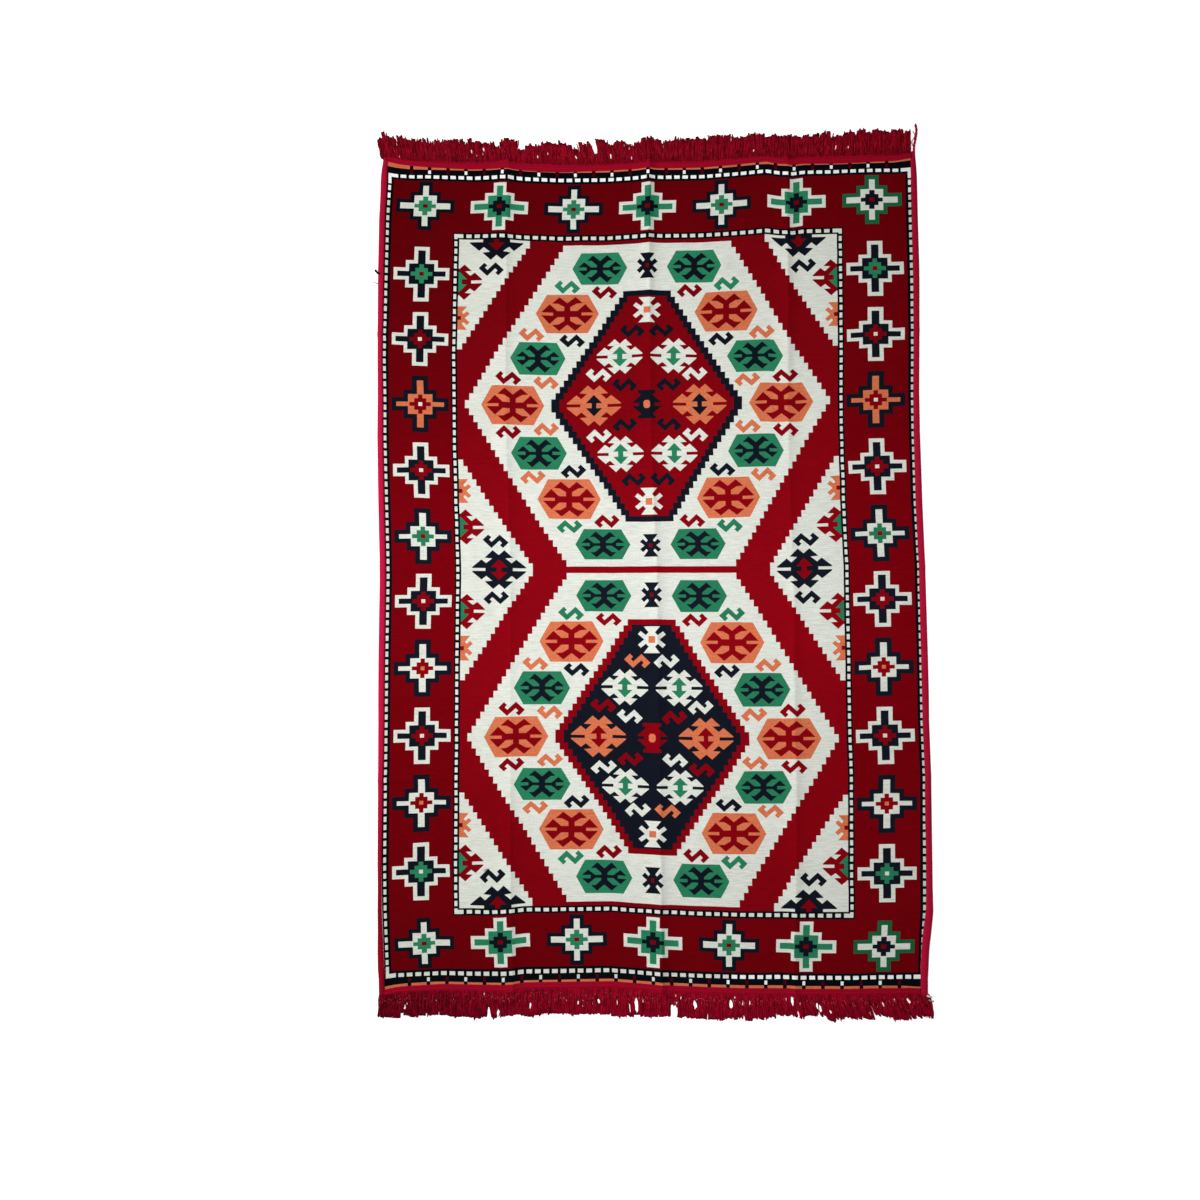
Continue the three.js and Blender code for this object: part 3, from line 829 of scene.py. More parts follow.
@dataclass(frozen=True)
class WovenWool:
    """The cloth's finish: dyed weft beaten over ribs of warp, with fine streaks and abrash."""

    rib: float = 2.2
    beat: float = 1.5
    grain: float = 0.34
    streak: float = 0.26
    abrash: float = 0.06
    depth: float = 0.35

    def material(self) -> bpy.types.Material:
        """Builds the material, which reads each yarn's dye, with its painted light and shade, from the mesh."""
        shader = Shader("woven_wool")
        place, across, along = shader.across_and_along()
        dye = shader.attribute("dye")
        blotch = shader.attribute("dye", "Alpha")
        turn = math.tau / MM
        ribs = (across * (turn / self.rib)).sine() * 0.5 + 0.5
        rows = (along * (turn / self.beat) + shader.cloud(place, 60) * 6).sine() * 0.5 + 0.5
        grain = shader.cloud(shader.stretched(place, (1, 1.6, 1)), 420, 2) - 0.5
        streak = shader.cloud(shader.stretched(place, (0.12, 1, 1)), 330, 2) - 0.5
        abrash = shader.cloud(shader.stretched(place, (0.06, 1, 1)), 24, 1) - 0.5
        patches = shader.cloud(place, 260, 3, 0.7) - 0.5
        tone = (1 + grain * (2 * self.grain) + streak * (2 * self.streak) + abrash * (2 * self.abrash)
                + patches * blotch * 0.9)
        height = ribs * 0.7 + rows * ribs * 0.3
        return shader.finish(
            Base_Color=shader.shade(dye, tone),
            Roughness=0.92 - grain * 0.1,
            Specular_IOR_Level=0.02,
            Normal=shader.bump(height, self.depth * MM, 0.7),
        )


@dataclass(frozen=True)
class DyedYarn:
    """The finish of a binding's, tape's or fringe's yarn: fibres along it, uneven dye, and pale flecks that are
    partly dust and partly painted sheen.
    """

    name: str
    dye: Dye
    shadow: Dye
    fibre: float = 0.5
    variation: float = 0.25
    depth: float = 0.3
    roughness: float = 0.85
    gloss: float = 0.05
    dust_and_sheen_flecks: float = 0.0
    dust_and_sheen_colour: Dye = Dye(205, 170, 172)
    fleck_middle: float = 19.0
    fleck_reach: float = 17.0

    def material(self) -> bpy.types.Material:
        """Builds the material, which reads each yarn's own tone from the mesh."""
        shader = Shader(self.name)
        place, across, along = shader.across_and_along()
        fibres = shader.cloud(shader.stretched(place, (1, 0.25, 1)), 1 / (self.fibre * MM), 2) - 0.5
        uneven = shader.cloud(place, 45, 2) - 0.5
        tone = shader.attribute("tone", "Fac")
        share = (tone + fibres * self.variation * 2 + uneven * self.variation).clamp()
        colour = shader.mix(share, (*self.shadow.linear(), 1.0), (*self.dye.linear(), 1.0))
        # Pale flecks, thickest around fleck_middle along the yarn: partly dust and partly painted sheen.
        if self.dust_and_sheen_flecks:
            spot = shader.stretched(shader.node("ShaderNodeTexCoord", output="Object"), (1, 0.4, 1))
            off = (along - self.fleck_middle * MM) / (self.fleck_reach * MM)
            band = (1 - off * off).clamp()
            pale = ((shader.cloud(spot, 560, 1) + band * 0.12 - 0.775) * 14).clamp()
            colour = shader.mix(pale * self.dust_and_sheen_flecks, colour, (*self.dust_and_sheen_colour.linear(), 1.0))
        return shader.finish(
            Base_Color=colour,
            Roughness=self.roughness + fibres * 0.1,
            Specular_IOR_Level=self.gloss,
            Normal=shader.bump(fibres, self.depth * MM, 0.5),
        )


@dataclass(frozen=True)
class FloorPaint:
    """The floor's finish: matt white with a barely uneven coat, lit from below as a product table is."""

    dye: Dye = Dye(250, 250, 250)
    glow: float = 0.7

    def material(self) -> bpy.types.Material:
        """Builds the material."""
        shader = Shader("floor_paint")
        place = shader.node("ShaderNodeTexCoord", output="Object")
        coat = shader.cloud(place, 30, 3) - 0.5
        colour = shader.mix(0.5 + coat * 0.2, (*self.dye.linear(), 1.0), (0.97, 0.97, 0.97, 1.0))
        return shader.finish(Base_Color=colour, Roughness=0.9, Specular_IOR_Level=0.1,
                             Emission_Color=(1.0, 1.0, 1.0, 1.0), Emission_Strength=self.glow)


@dataclass(frozen=True)
class Tube:
    """One closed tube of yarn or tape.

    place gives the point at a share of the way around and a share of the way along; girth and length are
    in millimetres, for the finish; tone gives the yarn's tone at the same two shares, from 0 to 1.
    """

    place: Callable[[float, float], Vector]
    girth: float
    length: float
    tone: Callable[[float, float], float]


class Thread(NamedTuple):
    """A loose, two-ply thread: its thickness, its tone, and its route from the pattern's middle."""

    thickness: float
    tone: float
    route: tuple[tuple[float, float, float], ...]

    def tube(self, middle: Vector) -> Tube:
        """The thread's surface.

        Args:
            middle: the pattern's middle in the frame, in metres.

        Returns:
            A tube that follows the route.
        """
        points = [Vector(point) for point in self.route]
        length = sum((b - a).length for a, b in zip(points, points[1:]))

        def place(s: float, t: float) -> Vector:
            """The thread's surface at shares of the way around and along it."""
            i = min(int(t * (len(points) - 1)), len(points) - 2)
            low, high = points[i], points[i + 1]
            core = low.lerp(high, t * (len(points) - 1) - i)
            beside = (high - low).cross(Vector((0, 0, 1))).normalized()
            angle = math.tau * s
            lobe = 1 + 0.12 * math.cos(2 * (angle - length * t / 2.6))
            radius = self.thickness / 2 * lobe * (0.55 if t > 0.97 else 1.0)
            spot = core + beside * (radius * math.sin(angle)) + Vector((0, 0, radius * math.cos(angle)))
            spot.z = max(0.0, spot.z)
            return middle + spot * MM

        return Tube(place, self.thickness * 3, length, lambda s, t: self.tone)


@dataclass
class Piece:
    """A named mesh of the rug, made ready in a bmesh."""

    name: str
    mesh: bmesh.types.BMesh = field(default_factory=bmesh.new)

    def __post_init__(self) -> None:
        """Adds the layers that the finishes read."""
        self.weave = self.mesh.loops.layers.uv.new("weave")
        self.tone = self.mesh.verts.layers.float.new("tone")

    def roll(self, around: int, along: int, tubes: Sequence[Tube]) -> None:
        """Adds closed tubes, rolled up from one long grid that is cut into a stretch for each.

        Args:
            around: number of faces around a tube.
            along: number of faces along a tube.
            tubes: the tubes.
        """
        stretch = along + 1
        rows = len(tubes) * stretch - 1
        made = bmesh.ops.create_grid(self.mesh, x_segments=around, y_segments=rows, size=0.5)
        steps = {vert: (round((vert.co.x + 0.5) * around), round((vert.co.y + 0.5) * rows))
                 for vert in made["verts"]}
        starts = {}
        for vert, (step, row) in steps.items():
            tube = tubes[row // stretch]
            shares = step / around, row % stretch / along
            vert.co = tube.place(*shares)
            vert[self.tone] = tube.tone(*shares)
            if step == 0:
                starts[row] = vert
        between = []
        for face in {face for vert in steps for face in vert.link_faces}:
            first = min(steps[vert][1] for vert in face.verts)
            if first % stretch == along:
                between.append(face)
                continue
            face.smooth = True
            index = first // stretch
            tube = tubes[index]
            for loop in face.loops:
                step, row = steps[loop.vert]
                girth = tube.girth * (step / around + 0.37 * index)
                loop[self.weave].uv = (girth * MM, tube.length * (row % stretch) / along * MM)
        bmesh.ops.delete(self.mesh, geom=between, context="FACES")
        seam = {vert: starts[row] for vert, (step, row) in steps.items() if step == around}
        bmesh.ops.weld_verts(self.mesh, targetmap=seam)
        rims = [edge for edge in self.mesh.edges if edge.is_boundary]
        bmesh.ops.holes_fill(self.mesh, edges=rims, sides=0)

    def done(self, material: bpy.types.Material, slot: str) -> bpy.types.Object:
        """Makes the object, with its faces pointing outwards, and lets it ride on the rug.

        Args:
            material: its finish.
            slot: not used.

        Returns:
            The finished object.
        """
        bmesh.ops.recalc_face_normals(self.mesh, faces=self.mesh.faces)
        data = bpy.data.meshes.new(self.name)
        self.mesh.to_mesh(data)
        self.mesh.free()
        data.materials.append(material)
        made = bpy.data.objects.new(self.name, data)
        bpy.context.scene.collection.objects.link(made)
        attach(made, "root")
        log.info("%s: %d faces", self.name, len(data.polygons))
        return made


@dataclass
class WovenCloth:
    """The patterned cloth: the chart's shapes cut into one sheet and laid over the creases."""

    surface: RugSurface
    chart: Chart
    finish: WovenWool = field(default_factory=WovenWool)
    spacing: float = 20.0
    crease_lines: tuple[float, ...] = (-40, -30, -21, -14, -9, -5, -2, 0, 2, 5, 9, 14, 21, 30, 40)
    cross_lines: tuple[float, ...] = (-30, -20, -12, -6, -2, 0, 2, 6, 12, 20, 30)
    wobble: Point = (0.8, 45.0)
    slips: tuple[Slip, ...] = (
        Slip(-880, 2.5, 5, 2, 2.5),
        Slip(-813, -1, 4, 2, 0.5),
        Slip(-757, -0.5, 2, 0.5, -1),
        Slip(-650, 0, 4.5, -1, 0),
        Slip(-590, 1.5, 5.5, -0.5, 0),
        Slip(-534, 2.5, 4, 1, 0.5),
        Slip(-478, 2, 2, -2, -2.5),
        Slip(-420, 1.5, 0.5, -4, -3),
        Slip(-340, 2, 1.5, -2.5, -2.5),
        Slip(-200, 3, 2, -2, -2),
        Slip(-144, 4.5, 3.5, 1.5, -0.5),
        Slip(-88, 4, 3.5, 0.5, -0.5),
        Slip(-30, 3.5, 0.5, -2, -2.5),
        Slip(26, 2, -2, -3, -4),
        Slip(86, 2, -4, -9.5, -5.5),
        Slip(146, 2, -5, -9.5, -6),
        Slip(200, 2, -5, -5, -4.5),
        Slip(357, 2.5, -3, -2.5, -3.5),
        Slip(440, 3.5, -3, -0.5, -4.5),
        Slip(524, 1.5, -1, -1, -6.5),
        Slip(580, 0.5, -1, -1, -5),
        Slip(690, 2, 0, -0.5, -0.5),
        Slip(880, 0, -2, -1, -1),
    )
    slip_places: tuple[float, ...] = (-520.0, -315.0, 0.0, 290.0, 520.0)
    sways: tuple[Knot, ...] = (
        Knot(-597, 0), Knot(-100, 0), Knot(0, -1.6), Knot(60, -2.6), Knot(155, -4), Knot(340, -4.2),
        Knot(425, -2.2), Knot(500, -1.8), Knot(560, -1), Knot(597, 0),
    )
    # Painted light and shade: the cloth's colours darken towards its ends and sides and lighten a little in the
    # middle, as the lamps' light falls off.
    painted_light_rows: tuple[PaintedLightRow, ...] = (
        PaintedLightRow(-900, 0.70, 0.84),
        PaintedLightRow(-640, 0.78, 0.98),
        PaintedLightRow(-400, 0.85, 0.97),
        PaintedLightRow(-150, 0.98, 1.12),
        PaintedLightRow(100, 0.98, 1.06),
        PaintedLightRow(350, 0.78, 0.90),
        PaintedLightRow(600, 0.63, 0.83),
        PaintedLightRow(900, 0.56, 0.77),
    )

    def column_lines(self) -> list[list[Point]]:
        """Grid lines along the rug, close together at the lengthwise creases."""
        surface = self.surface
        lines = []
        ends = [-surface.half_length, -surface.straight_end, surface.straight_end, surface.half_length]
        starts = [(-surface.half_width, 0.0, 0)]
        for crease in surface.creases:
            lines += [[(surface.crest(crease, v) + offset, v) for v in ends] for offset in self.crease_lines]
        edges = [-surface.half_width, *(crease.at for crease in surface.creases), surface.half_width]
        for low, high in zip(edges, edges[1:]):
            first = low + (surface.creases[0].reach if low > edges[0] else 0)
            last = high - (surface.creases[0].reach if high < edges[-1] else 0)
            count = round((last - first) / self.spacing)
            for i in range(1, count):
                u = first + (last - first) * i / count
                lines.append([(u, v) for v in (ends[0], ends[-1])])
        return lines

    def row_lines(self) -> list[list[Point]]:
        """Grid lines across the rug, close together at the crosswise creases."""
        surface = self.surface
        places = [fold.at + offset for fold in surface.cross_creases for offset in self.cross_lines]
        count = round(2 * surface.half_length / self.spacing)
        for i in range(1, count):
            v = surface.half_length * (2 * i / count - 1)
            if all(abs(v - fold.at) > fold.reach + 4 for fold in surface.cross_creases):
                places.append(v)
        return [[(-surface.half_width, v), (surface.half_width, v)] for v in places]

    def outline(self) -> list[Point]:
        """The flat cloth's outline, whose right edge draws in under the binding near the bottom."""
        surface = self.surface
        low, high = -surface.half_length, surface.half_length
        right = [(row.cloth_right, row.v) for row in surface.edges if low < row.v < high]
        return [(-surface.half_width, low), (surface.cloth_edge(Side.RIGHT, low), low), *right,
                (surface.half_width, high), (-surface.half_width, high)]

    def cut(self) -> tuple[list[Vector], list[list[int]], list[Yarn]]:
        """Cuts the sheet along the grid lines and along every shape of the chart.

        Returns:
            The flat points, the triangles, and each triangle's yarn.
        """
        points: list[Vector] = []
        outlines: list[list[int]] = []
        edges: list[tuple[int, int]] = []
        shapes = [self.outline()] + [outline for _, outline in self.chart.shapes]
        for outline in shapes:
            area = sum(a[0] * b[1] - b[0] * a[1] for a, b in zip(outline, outline[1:] + outline[:1]))
            ordered = outline if area > 0 else outline[::-1]
            outlines.append(list(range(len(points), len(points) + len(ordered))))
            points += [Vector(point) for point in ordered]
        for line in self.column_lines() + self.row_lines():
            first = len(points)
            points += [Vector(point) for point in line]
            edges += [(first + i, first + i + 1) for i in range(len(line) - 1)]
        flat, _, faces, _, _, owners = delaunay_2d_cdt(points, edges, outlines, 1, 1e-3, True)
        kept = [(face, owner) for face, owner in zip(faces, owners) if 0 in owner]
        yarns = [self.chart.shapes[max(owner) - 1][0] for _, owner in kept]
        return flat, [face for face, _ in kept], yarns

    def lay(self, point: Vector) -> Vector:
        """A point of the flat cloth on top of the laid sheet, moved a little as hand weaving is."""
        surface = self.surface
        u, v = point
        amount, length = self.wobble
        inside = min(1.0, max(0.0, (surface.half_width - 8 - abs(u)) / 20))
        drift = noise.noise_vector(Vector((u / length, v / length, 3.0)))
        sway = read(self.sways, u, "value") * (1.0 if abs(v) < 700 else 0.65)
        slip = self.slip(u, v)
        u += (drift.x * amount + sway) * inside
        v += (drift.y * amount + slip) * min(1.0, max(0.0, (910 - abs(v)) / 20))
        return surface.lay(u, v, surface.lift(u, v) + surface.thickness)

    def slip(self, u: float, v: float) -> float:
        """How far the weaving has slipped lengthwise at a point of the flat cloth."""
        columns = ("edge", "left", "middle", "right", "edge")
        values = [read(self.slips, v, column) for column in columns]
        return read([Knot(*pair) for pair in zip(self.slip_places, values)], u, "value")

    def dyed(self, yarn: Yarn, point: Vector) -> tuple[float, float, float, float]:
        """A yarn's colour at a point of the flat cloth, darkened or lightened as painted light and shade from the
        falloff table, with its blotchiness.
        """
        dye = yarn.value
        u, v = point
        across = u / (2 * self.surface.half_width) + 0.5
        # Painted light and shade: the dye is darkened or lightened as the lamps' light falls off across the rug.
        kept = read(self.painted_light_rows, v, "left") * (1 - across) + read(self.painted_light_rows, v, "right") * across
        share = 1 - dye.painted_light_share * (1 - kept)
        return (*(channel * share for channel in dye.linear()), dye.blotch)

    def build(self) -> bpy.types.Object:
        """Builds the cloth's mesh, its dyes with their painted light and shade, and its thickness.

        Returns:
            The cloth.
        """
        self.chart.draw()
        flat, faces, yarns = self.cut()
        piece = Piece("kilim_cloth")
        # The "dye" colours hold painted light and shade as well as each yarn's own colour.
        dye = piece.mesh.loops.layers.float_color.new("dye")
        verts = [piece.mesh.verts.new(self.lay(point)) for point in flat]
        for corners, yarn in zip(faces, yarns):
            face = piece.mesh.faces.new([verts[i] for i in corners])
            face.smooth = True
            for loop, i in zip(face.loops, corners):
                loop[piece.weave].uv = flat[i] * MM
                loop[dye] = self.dyed(yarn, flat[i])
        loose = [vert for vert in verts if not vert.link_faces]
        bmesh.ops.delete(piece.mesh, geom=loose, context="VERTS")
        for edge in piece.mesh.edges:
            edge.smooth = not edge.is_boundary
        cloth = piece.done(self.finish.material(), "woven_cloth")
        thick = cloth.modifiers.new("thickness", "SOLIDIFY")
        thick.thickness = self.surface.thickness * MM
        thick.offset = -1
        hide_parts("woven_cloth")
        return cloth


class BindingRow(NamedTuple):
    """Both bindings at one place along the rug: their yarn's tone, and their lap over the cloth."""

    v: float
    left: float
    right: float
    lap_left: float
    lap_right: float


@dataclass
class SideBinding:
    """An overcast yarn roll along one side of the cloth, with the loose yarn tail on the right one."""

    surface: RugSurface
    side: Side
    finish: DyedYarn
    height: float = 4.6
    seat: float = 0.4
    half_length: float = 939.0
    turn: float = 3.1
    relief: float = 0.35
    slant: float = 0.6
    around: int = 14
    steps_per_turn: int = 4
    rows: tuple[BindingRow, ...] = (
        BindingRow(-925, 0.10, 0.55, 3.8, 4.0),
        BindingRow(-845, 0.08, 0.60, 3.0, 4.0),
        BindingRow(-767, 0.05, 0.60, 1.9, 5.4),
        BindingRow(-690, 0.25, 0.55, 2.1, 6.4),
        BindingRow(-611, 0.40, 0.50, 3.0, 7.2),
        BindingRow(-533, 0.60, 0.45, 3.6, 8.8),
        BindingRow(-377, 0.85, 0.45, 5.6, 9.0),
        BindingRow(-143, 0.90, 0.60, 5.6, 10.2),
        BindingRow(50, 0.90, 0.60, 4.5, 9.8),
        BindingRow(330, 0.90, 0.50, 5.6, 8.8),
        BindingRow(600, 0.65, 0.35, 5.2, 7.2),
        BindingRow(800, 0.50, 0.35, 4.0, 6.0),
        BindingRow(925, 0.50, 0.35, 3.8, 6.5),
    )
    tail: Thread = Thread(5.6, 0.35, (
        (600.5, 926, 2.8), (600.5, 944, 2.8), (601, 956, 2.8), (603.5, 968, 2.8), (606, 982, 2.8),
        (607, 993, 2.8), (604.5, 1008, 2.8),
    ))

    def place(self, s: float, t: float) -> Vector:
        """The roll's surface at shares of the way around and along."""
        surface = self.surface
        v = self.half_length * (2 * t - 1)
        angle = math.tau * s
        inner = surface.cloth_edge(self.side, v) + surface.sewing_gap
        outer = read(surface.edges, v, self.side.name.lower())
        wound = math.tau * (v / self.turn) + self.slant * angle
        swell = 1 + self.relief / self.height * (math.cos(wound) - 1)
        round_off = min(1.0, (self.half_length - abs(v)) / 4) ** 0.5 * 0.35 + 0.65
        rise = max(0.0, self.height * (self.seat + (1 - self.seat) * math.cos(angle)) * swell * round_off)
        edge = surface.lift(self.side.value * surface.cloth_edge(self.side, v), v)
        inwards = max(0.0, -self.side.value * math.sin(angle))
        lip = read(self.rows, v, f"lap_{self.side.name.lower()}")
        lap = lip * inwards * min(1.0, max(0.0, (rise - surface.thickness - 0.2) / 0.7))
        half = (outer - inner) / 2 * swell * round_off
        out = math.sin(angle) * half - self.side.value * lap
        return surface.lay(self.side.value * (inner + outer) / 2, v, edge + rise, out)

    def tone(self, s: float, t: float) -> float:
        """The yarn's tone: painted light on the side that faces left and painted shade on the side that faces right,
        with a dull seam beside the middle.
        """
        v = self.half_length * (2 * t - 1)
        across = math.sin(math.tau * s)
        seam = 0.25 * math.exp(-((across - 0.2) / 0.12) ** 2)
        # Painted light and shade: the roll is lighter where it faces left, towards the side lamp, and darker where
        # it faces right.
        return read(self.rows, v, self.side.name.lower()) - 0.18 * across - seam

    def build(self) -> bpy.types.Object:
        """Builds the binding.

        Returns:
            The binding, which rides on the rug in place of its plain solid.
        """
        piece = Piece(f"overcast_{self.side.name.lower()}")
        length = 2 * self.half_length
        along = round(length / self.turn * self.steps_per_turn)
        piece.roll(self.around, along, [Tube(self.place, 34, length, self.tone)])
        if self.side is Side.RIGHT:
            piece.roll(10, 60, [self.tail.tube(self.surface.middle)])
        made = piece.done(self.finish.material(), "binding_yarn")
        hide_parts(f"side_binding_{self.side.name.lower()}")
        return made

class StrandRow(NamedTuple):
    """The yarns' sideways lean or outward reach at each end, at one place across the rug."""

    u: float
    top: float
    bottom: float


class Parting(NamedTuple):
    """A see-through gap between yarns: its end and middle, its half width and length, and its slant."""

    end: End
    u: float
    v: float
    half_width: float
    half_length: float
    slant: float

    def part(self, line: list[Point], clear: float, spread: float = 9.0) -> list[Point]:
        """Moves a yarn's line out of the gap.

        Args:
            line: points across and outwards, from root to tip.
            clear: half the yarn's thickness.
            spread: how far beside the gap the yarns are squeezed together.

        Returns:
            The moved points.
        """
        nearest = min(line, key=lambda point: abs(point[1] - self.v))
        sign = 1 if self.off(nearest) >= 0 else -1
        moved = []
        for point in line:
            along = (point[1] - self.v) / self.half_length
            away = self.off(point) * sign
            if abs(along) < 1:
                ragged = 1 + 0.8 * noise.noise(Vector((self.u, point[1] / 4, sign)))
                wide = (self.half_width * ragged + clear) * math.sqrt(1 - along * along)
                if away < wide + spread:
                    away_now = wide + max(0.0, away) * spread / (wide + spread)
                    point = (point[0] + sign * (away_now - away), point[1])
            moved.append(point)
        return moved

    def off(self, point: Point) -> float:
        """How far a point lies to the right of the gap's middle line."""
        return point[0] - self.u - self.slant * (point[1] - self.v)


class SlitRow(NamedTuple):
    """Fine gaps beside the tape: their end, the stretch that they lie in, their number and their slant."""

    end: End
    first: float
    last: float
    count: int
    slant: float


class Layer(NamedTuple):
    """One layer of yarns: spacing, thickness, flatness, height, tangle, tone, and how many cross gaps."""

    name: str
    spacing: float
    thickness: float
    flatness: float
    over: float
    tangle: float
    tone: float
    crossing: float
    gather: float


class LapRow(NamedTuple):
    """Where the tape's inner edge lies over the cloth at each end."""

    u: float
    top: float
    bottom: float


class Lock(NamedTuple):
    """A lock of tangled yarns: its stretch of the tape, its lean and reach, and how much it narrows."""

    first: float
    last: float
    middle: float
    lean: float
    reach: float
    pinch: float


@dataclass
class Fringe:
    """A tape sewn over one end of the cloth, and the cut yarns that hang out of it."""

    surface: RugSurface
    end: End
    tape_finish: DyedYarn
    yarn_finish: DyedYarn
    outer: float = 937.0
    gap: float = 0.4
    inset: float = 0.3
    root: float = 931.5
    roots_top: Point = (-603.5, 595.0)
    roots_bottom: Point = (-606.5, 600.0)
    # Painted shade at the top's yarn roots and painted light at the bottom's, as factors on their tone.
    root_light: Point = (0.6, 1.1)
    longer: Point = (4.5, 4.5)
    slits: tuple[SlitRow, ...] = (
        SlitRow(End.TOP, -430, -200, 7, -0.3),
        SlitRow(End.TOP, -60, 560, 6, 0.1),
        SlitRow(End.BOTTOM, -560, -440, 2, -0.1),
        SlitRow(End.BOTTOM, -440, -5, 26, 0.0),
        SlitRow(End.BOTTOM, 90, 330, 12, 0.1),
        SlitRow(End.BOTTOM, 380, 560, 8, 0.7),
    )
    sides: int = 6
    steps: int = 14
    layers: tuple[Layer, ...] = (
        Layer("mat", 2.4, 5.4, 0.5, 0.0, 0.5, 0.3, 0.0, 0.2),
        Layer("body", 2.7, 3.6, 0.8, 1.6, 1.5, 0.5, 0.03, 1.0),
        Layer("tangle", 5.0, 3.0, 0.8, 3.4, 4.0, 0.7, 0.15, 1.0),
    )
    laps: tuple[LapRow, ...] = (
        LapRow(-597, 927.5, 923.5),
        LapRow(-560, 924, 921),
        LapRow(-500, 919.5, 920),
        LapRow(-440, 917.3, 919),
        LapRow(-330, 916.2, 918.8),
        LapRow(-240, 914.9, 918.5),
        LapRow(-183, 915.4, 919),
        LapRow(-140, 917, 919.5),
        LapRow(-90, 918, 919.7),
        LapRow(0, 917.2, 919.9),
        LapRow(120, 918, 920),
        LapRow(250, 918.8, 920.4),
        LapRow(320, 917.5, 920.3),
        LapRow(400, 916, 920),
        LapRow(480, 915.6, 919.6),
        LapRow(560, 919.5, 920),
        LapRow(597, 923, 921),
    )
    leans: tuple[StrandRow, ...] = (
        StrandRow(-597, -16, -3.5),
        StrandRow(-560, -11, -2.5),
        StrandRow(-520, -7, -1),
        StrandRow(-440, -4, 0),
        StrandRow(-350, -3, 0),
        StrandRow(-270, -4, 0),
        StrandRow(-190, -8, 0),
        StrandRow(-100, -9, 1),
        StrandRow(-20, -3, -1),
        StrandRow(60, 0, -1),
        StrandRow(180, 2, 2),
        StrandRow(330, 3, 10),
        StrandRow(450, 4, 19),
        StrandRow(560, 3, 22),
        StrandRow(597, 1, 14),
    )
    reaches: tuple[StrandRow, ...] = (
        StrandRow(-605, 987, 986),
        StrandRow(-567, 987, 986),
        StrandRow(-556, 986, 972),
        StrandRow(-540, 985, 989),
        StrandRow(-522, 980, 981),
        StrandRow(-500, 984, 982),
        StrandRow(-470, 978, 978),
        StrandRow(-440, 981, 984),
        StrandRow(-400, 976, 984),
        StrandRow(-374, 969, 984),
        StrandRow(-345, 975, 985),
        StrandRow(-300, 968, 979),
        StrandRow(-272, 963, 982),
        StrandRow(-250, 970, 976),
        StrandRow(-210, 968, 977),
        StrandRow(-165, 962, 978),
        StrandRow(-120, 972, 977),
        StrandRow(-70, 973, 982),
        StrandRow(-28, 965, 982),
        StrandRow(-8, 976, 984),
        StrandRow(28, 971, 981),
        StrandRow(31, 970, 958),
        StrandRow(50, 973, 958),
        StrandRow(58, 974, 984),
        StrandRow(126, 979, 989),
        StrandRow(185, 981, 987),
        StrandRow(240, 983, 990),
        StrandRow(268, 980, 977),
        StrandRow(320, 979, 982),
        StrandRow(338, 979, 989),
        StrandRow(350, 981, 976),
        StrandRow(400, 980, 988),
        StrandRow(440, 981, 984),
        StrandRow(486, 987, 992),
        StrandRow(500, 988, 981),
        StrandRow(545, 988, 990),
        StrandRow(560, 991, 984),
        StrandRow(605, 978, 984),
    )
    partings: tuple[Parting, ...] = (
        Parting(End.TOP, -376, 961, 1.6, 5, -0.45),
        Parting(End.TOP, -252, 943, 1.3, 6, 0),
        Parting(End.TOP, -164, 940, 0.8, 5, -1),
        Parting(End.TOP, -126, 973, 5, 26, -0.37),
        Parting(End.TOP, -95, 941, 0.8, 6, 0),
        Parting(End.TOP, -84.5, 941, 2, 8, -0.1),
        Parting(End.TOP, -38, 937, 1.0, 6, -0.2),
        Parting(End.BOTTOM, -546, 964, 2, 9, -0.6),
        Parting(End.BOTTOM, -405, 955, 0.8, 4, 0.3),
        Parting(End.BOTTOM, -362, 986, 3.8, 22, 0),
        Parting(End.BOTTOM, -341, 984, 2.4, 15, 0),
        Parting(End.BOTTOM, -322, 956, 0.8, 5, -0.3),
        Parting(End.BOTTOM, -271, 963, 2.5, 8, 0),
        Parting(End.BOTTOM, -231, 956, 0.8, 5, 0),
        Parting(End.BOTTOM, -165, 957, 1.5, 6, -0.2),
        Parting(End.BOTTOM, -134, 956, 1.6, 7, 0.1),
        Parting(End.BOTTOM, -120, 955, 1.5, 5, 0),
        Parting(End.BOTTOM, -80, 959, 1.3, 10, 0),
        Parting(End.BOTTOM, -52, 967, 1.3, 13, 0.2),
        Parting(End.BOTTOM, -37, 963, 3, 17, 0.15),
        Parting(End.BOTTOM, 60, 948, 1.5, 4, -0.6),
        Parting(End.BOTTOM, 52, 957, 1.5, 5, 0),
        Parting(End.BOTTOM, 91, 961, 4, 10, 0.1),
        Parting(End.BOTTOM, 169, 960, 4.6, 10, 0.15),
        Parting(End.BOTTOM, 211, 958, 2, 7, 0),
        Parting(End.BOTTOM, 290.5, 951, 2.2, 6, 0.3),
        Parting(End.BOTTOM, 304.5, 954, 2.8, 11, -0.1),
        Parting(End.BOTTOM, 317, 980, 1.8, 8, 0.35),
        Parting(End.BOTTOM, 362, 967, 4.5, 10, 0.6),
        Parting(End.BOTTOM, 387, 976, 1.5, 5, 0.5),
        Parting(End.BOTTOM, 558, 952, 2, 7, 0.9),
    )
    tones: tuple[StrandRow, ...] = (
        StrandRow(-600, 0.05, -0.30),
        StrandRow(-450, 0.0, -0.22),
        StrandRow(-250, 0.02, 0.06),
        StrandRow(0, 0.02, 0.15),
        StrandRow(300, 0.02, 0.13),
        StrandRow(600, 0.05, 0.08),
    )
    raggedness: tuple[StrandRow, ...] = (
        StrandRow(-600, 2.1, 0.5),
        StrandRow(-100, 2.1, 0.7),
        StrandRow(100, 1.3, 0.7),
        StrandRow(300, 1.3, 1.3),
        StrandRow(600, 1.4, 1.3),
    )

